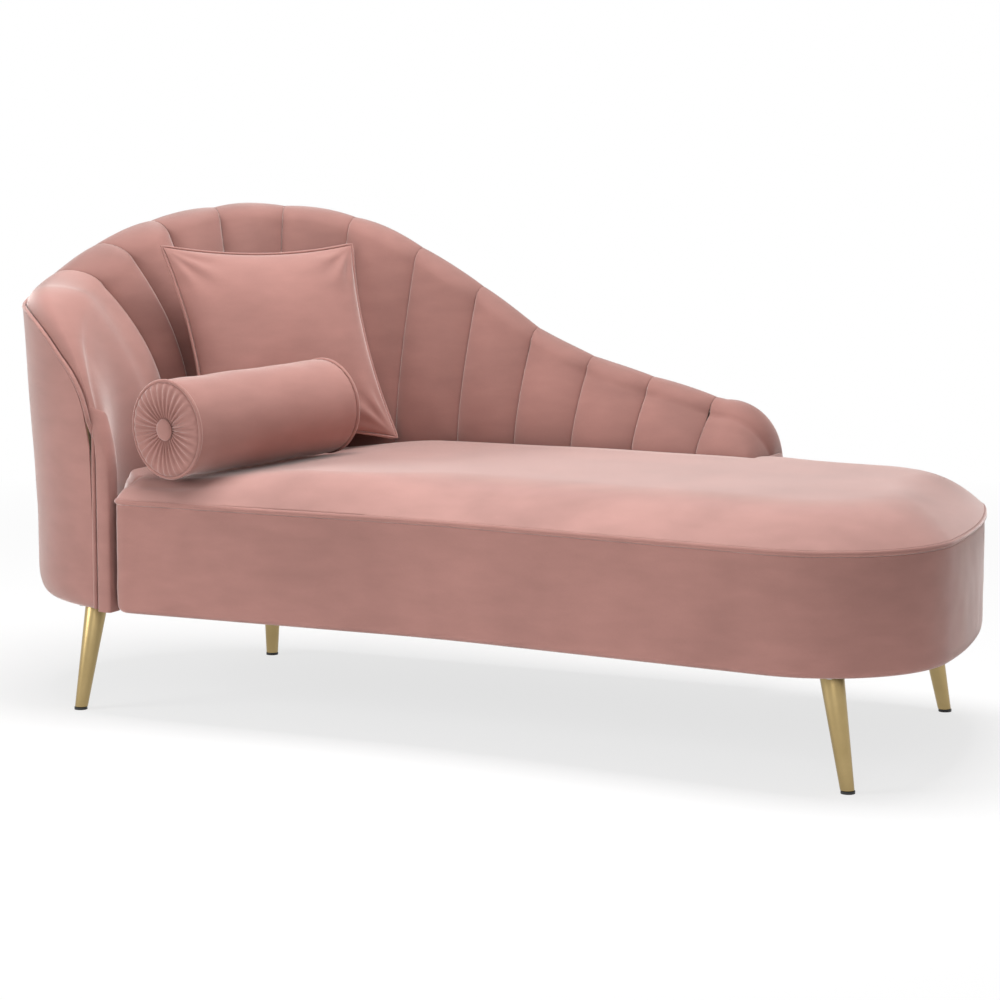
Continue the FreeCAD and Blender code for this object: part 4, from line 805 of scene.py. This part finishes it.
def pillow_mesh():
    """Front and back of the pillow as grids that are finer towards its edges, joined at the rim."""
    steps = 72
    ticks = [math.sin(math.pi / 2 * (-1 + 2 * k / steps)) for k in range(steps + 1)]
    bm = bmesh.new()
    for side in (1, -1):
        grid = [[bm.verts.new(room_point(pillow_point(u, v, side))) for u in ticks] for v in ticks]
        for i in range(steps):
            for j in range(steps):
                bm.faces.new((grid[i][j], grid[i][j + 1], grid[i + 1][j + 1], grid[i + 1][j]))
        rim = grid[0][:-1] + [row[-1] for row in grid[:-1]]
        rim += grid[-1][:0:-1] + [row[0] for row in grid[:0:-1]]
        if side == 1:
            front_rim = rim
    for k in range(len(rim)):
        n = (k + 1) % len(rim)
        bm.faces.new((front_rim[k], front_rim[n], rim[n], rim[k]))
    bmesh.ops.recalc_face_normals(bm, faces=bm.faces)
    mesh = bpy.data.meshes.new("square_pillow")
    bm.to_mesh(mesh)
    bm.free()
    piece = bpy.data.objects.new("square_pillow", mesh)
    bpy.context.scene.collection.objects.link(piece)
    for face in mesh.polygons:
        face.use_smooth = True
    return piece


upholstered(pillow_mesh(), "pillow", 0.75, "pillow_cover", "pillow_insert")
rim = []
for corner in range(4):
    for k in range(40):
        t = -1 + 2 * k / 40
        u, v = [(t, -1), (1, t), (-t, 1), (-1, -t)][corner]
        x = u * PILLOW_HALF - (math.copysign(DRAWN_IN * (1 - v * v), u) if corner in (1, 3) else 0)
        y = v * PILLOW_HALF - (math.copysign(DRAWN_IN * (1 - u * u), v) if corner in (0, 2) else 0)
        rim.append(racked(x, y))
line = []
for k, (x, y) in enumerate(rim):
    ahead, behind = rim[(k + 1) % len(rim)], rim[k - 1]
    dx, dy = ahead[0] - behind[0], ahead[1] - behind[1]
    size = math.hypot(dx, dy)
    out = PILLOW_U * (dy / size) - PILLOW_V * (dx / size)
    line.append((PILLOW_CENTRE + PILLOW_U * x + PILLOW_V * y + out * PILLOW_CORD, out))
upholstered(piping("pillow_piping", line, PILLOW_CORD, closed=True), "pillow", None, "pillow_welt")


# ---------------------------------------------------------------------------------------------
# Bolster. A round roll of fibre in velvet, piped at both ends: each end is a disc gathered into
# a covered button, which is pulled in towards the other one.
BOLSTER_NEAR = Vector((-428, -284, 463))  # middle of its near end
BOLSTER_HEADING, BOLSTER_RISE = math.radians(73.5), math.radians(1.8)
BOLSTER_AXIS = Vector((math.cos(BOLSTER_HEADING), math.sin(BOLSTER_HEADING),
                       math.tan(BOLSTER_RISE))).normalized()
BOLSTER_SIDE = BOLSTER_AXIS.cross(Vector((0, 0, 1))).normalized()
BOLSTER_UP = BOLSTER_SIDE.cross(BOLSTER_AXIS)
BOLSTER_LENGTH = 352


def bolster_out(turn):
    """Direction away from the bolster's axis."""
    return BOLSTER_SIDE * math.cos(turn) + BOLSTER_UP * math.sin(turn)


def bolster_point(radius, turn, w):
    return BOLSTER_NEAR + BOLSTER_AXIS * w + bolster_out(turn) * radius


rings = []
for k in range(61):
    w = 3.8 + (BOLSTER_LENGTH - 7.6) * (0.5 - 0.5 * math.cos(math.pi * k / 60))
    near_end = min(w, BOLSTER_LENGTH - w)
    ring = []
    for j in range(120):
        turn = 2 * math.pi * j / 120
        c, d = math.cos(turn), math.sin(turn)
        soft = unevenness((60 * c, 60 * d, w), 60, 1.8) * min(1.0, near_end / 40)
        pulls = unevenness((200 * c, 200 * d, w * 0.5), 14, 0.7) * math.exp(-near_end / 22)
        drawn = 2.2 * math.exp(-near_end / 7)
        ring.append(bolster_point(77.6 - drawn + min(0.6, soft) + pulls, turn, w))
    rings.append(ring)
upholstered(sewn("bolster_roll", rings), "bolster", 0.9, "bolster_cover", "bolster_core")


# Profiles from the rim inwards: radius, how far it stands out, and depth of the pleats
GATHERS = [(74, -6, 0), (74.5, 0, 0.2), (73, 2.6, 0.5), (69, 4.9, 0.9), (63, 6.6, 1.3), (56, 7.6, 1.6),
           (49, 8.0, 1.8), (42, 7.9, 1.9), (35, 7.4, 2.0), (28, 6.4, 1.9), (22, 5.0, 1.6),
           (17, 3.4, 1.1), (13, 2.2, 0.5), (4, 2.0, 0.1)]
PLEATS = 30
BUTTON = [(9, 2.6), (15.6, 3.2), (17.2, 4.6), (17.4, 5.8), (16.6, 7.2), (14.4, 8.9), (11, 10.1),
          (7, 10.9), (2, 11.2)]


def gathered_end(name, node, far):
    """A disc of velvet gathered by a running stitch: soft pleats that meet under the button."""
    rings = []
    for radius, rise, depth in GATHERS:
        ring = []
        for j in range(360):
            turn = 2 * math.pi * j / 360
            wander = 0.5 * math.sin(turn * 5 + 1.3) + 0.35 * math.sin(turn * 8)
            wave = math.sin(PLEATS * turn + wander)
            pleat = depth * (abs(wave) ** 0.7 * (1 if wave > 0 else -1) - 0.2)
            w = -(rise + pleat)
            ring.append(bolster_point(radius, turn, BOLSTER_LENGTH - w if far else w))
        rings.append(ring)
    return upholstered(sewn(name, rings, crease=80), "bolster", 0.6, node)


gathered_end("bolster_gathers_near", "bolster_end_near", False)
gathered_end("bolster_gathers_far", "bolster_end_far", True)
cords = []
for w in (0.4, BOLSTER_LENGTH - 0.4):
    line = []
    for j in range(96):
        turn = 2 * math.pi * j / 96
        line.append((bolster_point(76.5, turn, w), bolster_out(turn)))
    cords.append(piping("bolster_piping", line, 3.0, closed=True))
buttons = []
for far in (False, True):
    rings = []
    for radius, rise in BUTTON:
        w = BOLSTER_LENGTH + rise if far else -rise
        rings.append([bolster_point(radius, 2 * math.pi * j / 48, w) for j in range(48)])
    buttons.append(sewn("bolster_button", rings, crease=80))


def joined(pieces):
    """One piece out of two that are alike."""
    bpy.ops.object.select_all(action="DESELECT")
    for piece in pieces:
        piece.select_set(True)
    bpy.context.view_layer.objects.active = pieces[0]
    bpy.ops.object.join()
    pieces[0].select_set(False)
    return pieces[0]


upholstered(joined(cords), "bolster", None, "bolster_welts")
upholstered(joined(buttons), "bolster", None, "bolster_buttons")


# ---------------------------------------------------------------------------------------------
# Legs. Four tapered steel tubes plated in satin brass, leaning out at twelve degrees, each
# closed at its top by the plate that screws into the base, with a black plastic glide.
def brass_metal():
    """Brushed brass plating: fine lines down the leg, a slightly cloudy lacquer."""
    metal = bpy.data.materials.new("satin_brass")
    metal.use_nodes = True
    nodes, links = metal.node_tree.nodes, metal.node_tree.links
    skin = nodes["Principled BSDF"]
    skin.inputs["Metallic"].default_value = 1.0
    place = nodes.new("ShaderNodeTexCoord")
    drawn = nodes.new("ShaderNodeMapping")
    drawn.inputs["Scale"].default_value = (1.0, 1.0, 0.02)
    links.new(place.outputs["Object"], drawn.inputs["Vector"])
    lines = nodes.new("ShaderNodeTexNoise")
    lines.inputs["Scale"].default_value = 900.0
    lines.inputs["Detail"].default_value = 3.0
    links.new(drawn.outputs[0], lines.inputs["Vector"])
    cloud = nodes.new("ShaderNodeTexNoise")
    cloud.inputs["Scale"].default_value = 22.0
    cloud.inputs["Detail"].default_value = 3.0
    links.new(place.outputs["Object"], cloud.inputs["Vector"])
    tone = nodes.new("ShaderNodeMix")
    tone.data_type = "RGBA"
    tone.inputs["A"].default_value = (0.33, 0.240, 0.105, 1)
    tone.inputs["B"].default_value = (0.46, 0.345, 0.170, 1)
    links.new(cloud.outputs["Fac"], tone.inputs["Factor"])
    links.new(tone.outputs["Result"], skin.inputs["Base Color"])
    rough = nodes.new("ShaderNodeMapRange")
    rough.inputs["To Min"].default_value = 0.24
    rough.inputs["To Max"].default_value = 0.42
    links.new(lines.outputs["Fac"], rough.inputs["Value"])
    links.new(rough.outputs[0], skin.inputs["Roughness"])
    bump = nodes.new("ShaderNodeBump")
    bump.inputs["Strength"].default_value = 0.12
    bump.inputs["Distance"].default_value = 0.0002
    links.new(lines.outputs["Fac"], bump.inputs["Height"])
    links.new(bump.outputs[0], skin.inputs["Normal"])
    return metal


satin_brass = brass_metal()
# Middle of each foot in millimetres about the drawing's centre, and the way it leans out
LEGS = [("front_left", -604.5, -271.5, 250), ("rear_left", -559, 280, 122),
        ("front_right", 707, -321, -26), ("rear_right", 667, 296, 42)]
SPLAY = math.radians(12)
GLIDE_TOP, PLATE_BELOW = 0.0043, 0.1657  # heights in metres between which a leg shows
for name, x, y, heading in LEGS:
    a = math.radians(heading)
    up = Vector((-math.sin(SPLAY) * math.cos(a), -math.sin(SPLAY) * math.sin(a), math.cos(SPLAY)))
    foot = room_point((x, y, 0))
    bpy.ops.object.select_all(action="DESELECT")
    bpy.ops.mesh.primitive_cone_add(vertices=64, radius1=0.0095, radius2=0.0180, depth=0.188,
                                    location=foot + up * 0.083,
                                    rotation=up.to_track_quat("Z", "Y").to_euler())
    leg = bpy.context.object
    leg.name = "brass_leg_" + name
    bpy.ops.object.transform_apply(location=True, rotation=True, scale=True)
    bpy.ops.object.mode_set(mode="EDIT")
    for level, clear in ((GLIDE_TOP, "inner"), (PLATE_BELOW, "outer")):
        bpy.ops.mesh.select_all(action="SELECT")
        bpy.ops.mesh.bisect(plane_co=(0, 0, level), plane_no=(0, 0, 1), use_fill=True,
                            clear_inner=clear == "inner", clear_outer=clear == "outer")
    bpy.ops.mesh.select_all(action="DESELECT")
    bpy.ops.object.mode_set(mode="OBJECT")
    rim = leg.modifiers.new("rim", "BEVEL")
    rim.width = 0.0009
    rim.segments = 3
    rim.angle_limit = math.radians(50)
    bpy.ops.object.modifier_apply(modifier="rim")
    bpy.ops.object.shade_smooth_by_angle(angle=math.radians(40))
    leg.data.materials.append(satin_brass)
    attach(leg, "frame")
    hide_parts("leg_" + name)


# ---------------------------------------------------------------------------------------------
# Fittings and frame that show only from below or not at all: black glides, zinc plates, studs
# and screws, birch rails, hardboard, springs. They keep their shapes and get their finishes.
def plain_finish(name, dark, light, size, rough, metallic=0.0, stretch=(1, 1, 1), depth=0.0003):
    """A raw material with a grain or mottle stretched one way."""
    finish = bpy.data.materials.new(name)
    finish.use_nodes = True
    nodes, links = finish.node_tree.nodes, finish.node_tree.links
    skin = nodes["Principled BSDF"]
    skin.inputs["Metallic"].default_value = metallic
    place = nodes.new("ShaderNodeTexCoord")
    turned = nodes.new("ShaderNodeMapping")
    turned.inputs["Scale"].default_value = stretch
    links.new(place.outputs["Object"], turned.inputs["Vector"])
    grain = nodes.new("ShaderNodeTexNoise")
    grain.inputs["Scale"].default_value = size
    grain.inputs["Detail"].default_value = 5.0
    links.new(turned.outputs[0], grain.inputs["Vector"])
    tone = nodes.new("ShaderNodeMix")
    tone.data_type = "RGBA"
    tone.inputs["A"].default_value = dark
    tone.inputs["B"].default_value = light
    links.new(grain.outputs["Fac"], tone.inputs["Factor"])
    links.new(tone.outputs["Result"], skin.inputs["Base Color"])
    matt = nodes.new("ShaderNodeMapRange")
    matt.inputs["To Min"].default_value = rough - 0.1
    matt.inputs["To Max"].default_value = rough + 0.1
    links.new(grain.outputs["Fac"], matt.inputs["Value"])
    links.new(matt.outputs[0], skin.inputs["Roughness"])
    bump = nodes.new("ShaderNodeBump")
    bump.inputs["Strength"].default_value = 0.3
    bump.inputs["Distance"].default_value = depth
    links.new(grain.outputs["Fac"], bump.inputs["Height"])
    links.new(bump.outputs[0], skin.inputs["Normal"])
    return finish


black_plastic = plain_finish("black_plastic", (0.012, 0.012, 0.012, 1), (0.03, 0.03, 0.03, 1), 700, 0.5)
zinc = plain_finish("zinc_plate", (0.42, 0.43, 0.45, 1), (0.6, 0.61, 0.62, 1), 60, 0.35, 1.0)
birch = plain_finish("raw_birch", (0.46, 0.31, 0.18, 1), (0.64, 0.48, 0.31, 1), 90, 0.65,
                     stretch=(0.15, 1, 1))
hardboard = plain_finish("hardboard", (0.22, 0.13, 0.07, 1), (0.36, 0.23, 0.13, 1), 260, 0.7)
FINISHES = [(("glides",), black_plastic),
            (("leg_plates", "leg_studs", "leg_screws", "seat_springs"), zinc),
            (("back_panel", "back_liner"), hardboard)]
WOODEN = ("seat_rail", "seat_cross", "leg_block", "back_rib", "back_bottom", "back_top",
          "frame_spacers")
FINISHES.append((tuple(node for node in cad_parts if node.startswith(WOODEN)), birch))
for group, finish in FINISHES:
    for node in group:
        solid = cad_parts[node]
        solid.data.materials.clear()
        solid.data.materials.append(finish)


# ---------------------------------------------------------------------------------------------
# Cloth under the base. Black non-woven cloth, stapled over the underside, with an opening at
# each leg's plate.
flat_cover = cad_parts["dust_cover"]
under = flat_cover.copy()
under.data = flat_cover.data.copy()
under.name = "under_cloth"
under.parent = None
for key in list(under.keys()):
    if key.startswith("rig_"):
        del under[key]
bpy.context.scene.collection.objects.link(under)
bm = bmesh.new()
bm.from_mesh(under.data)
bmesh.ops.remove_doubles(bm, verts=bm.verts, dist=0.00001)
bm.to_mesh(under.data)
bm.free()
under.data.materials.clear()
under.data.materials.append(
    plain_finish("black_cloth", (0.010, 0.010, 0.010, 1), (0.035, 0.035, 0.035, 1), 420, 0.9))
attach(under, "frame")
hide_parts("dust_cover")
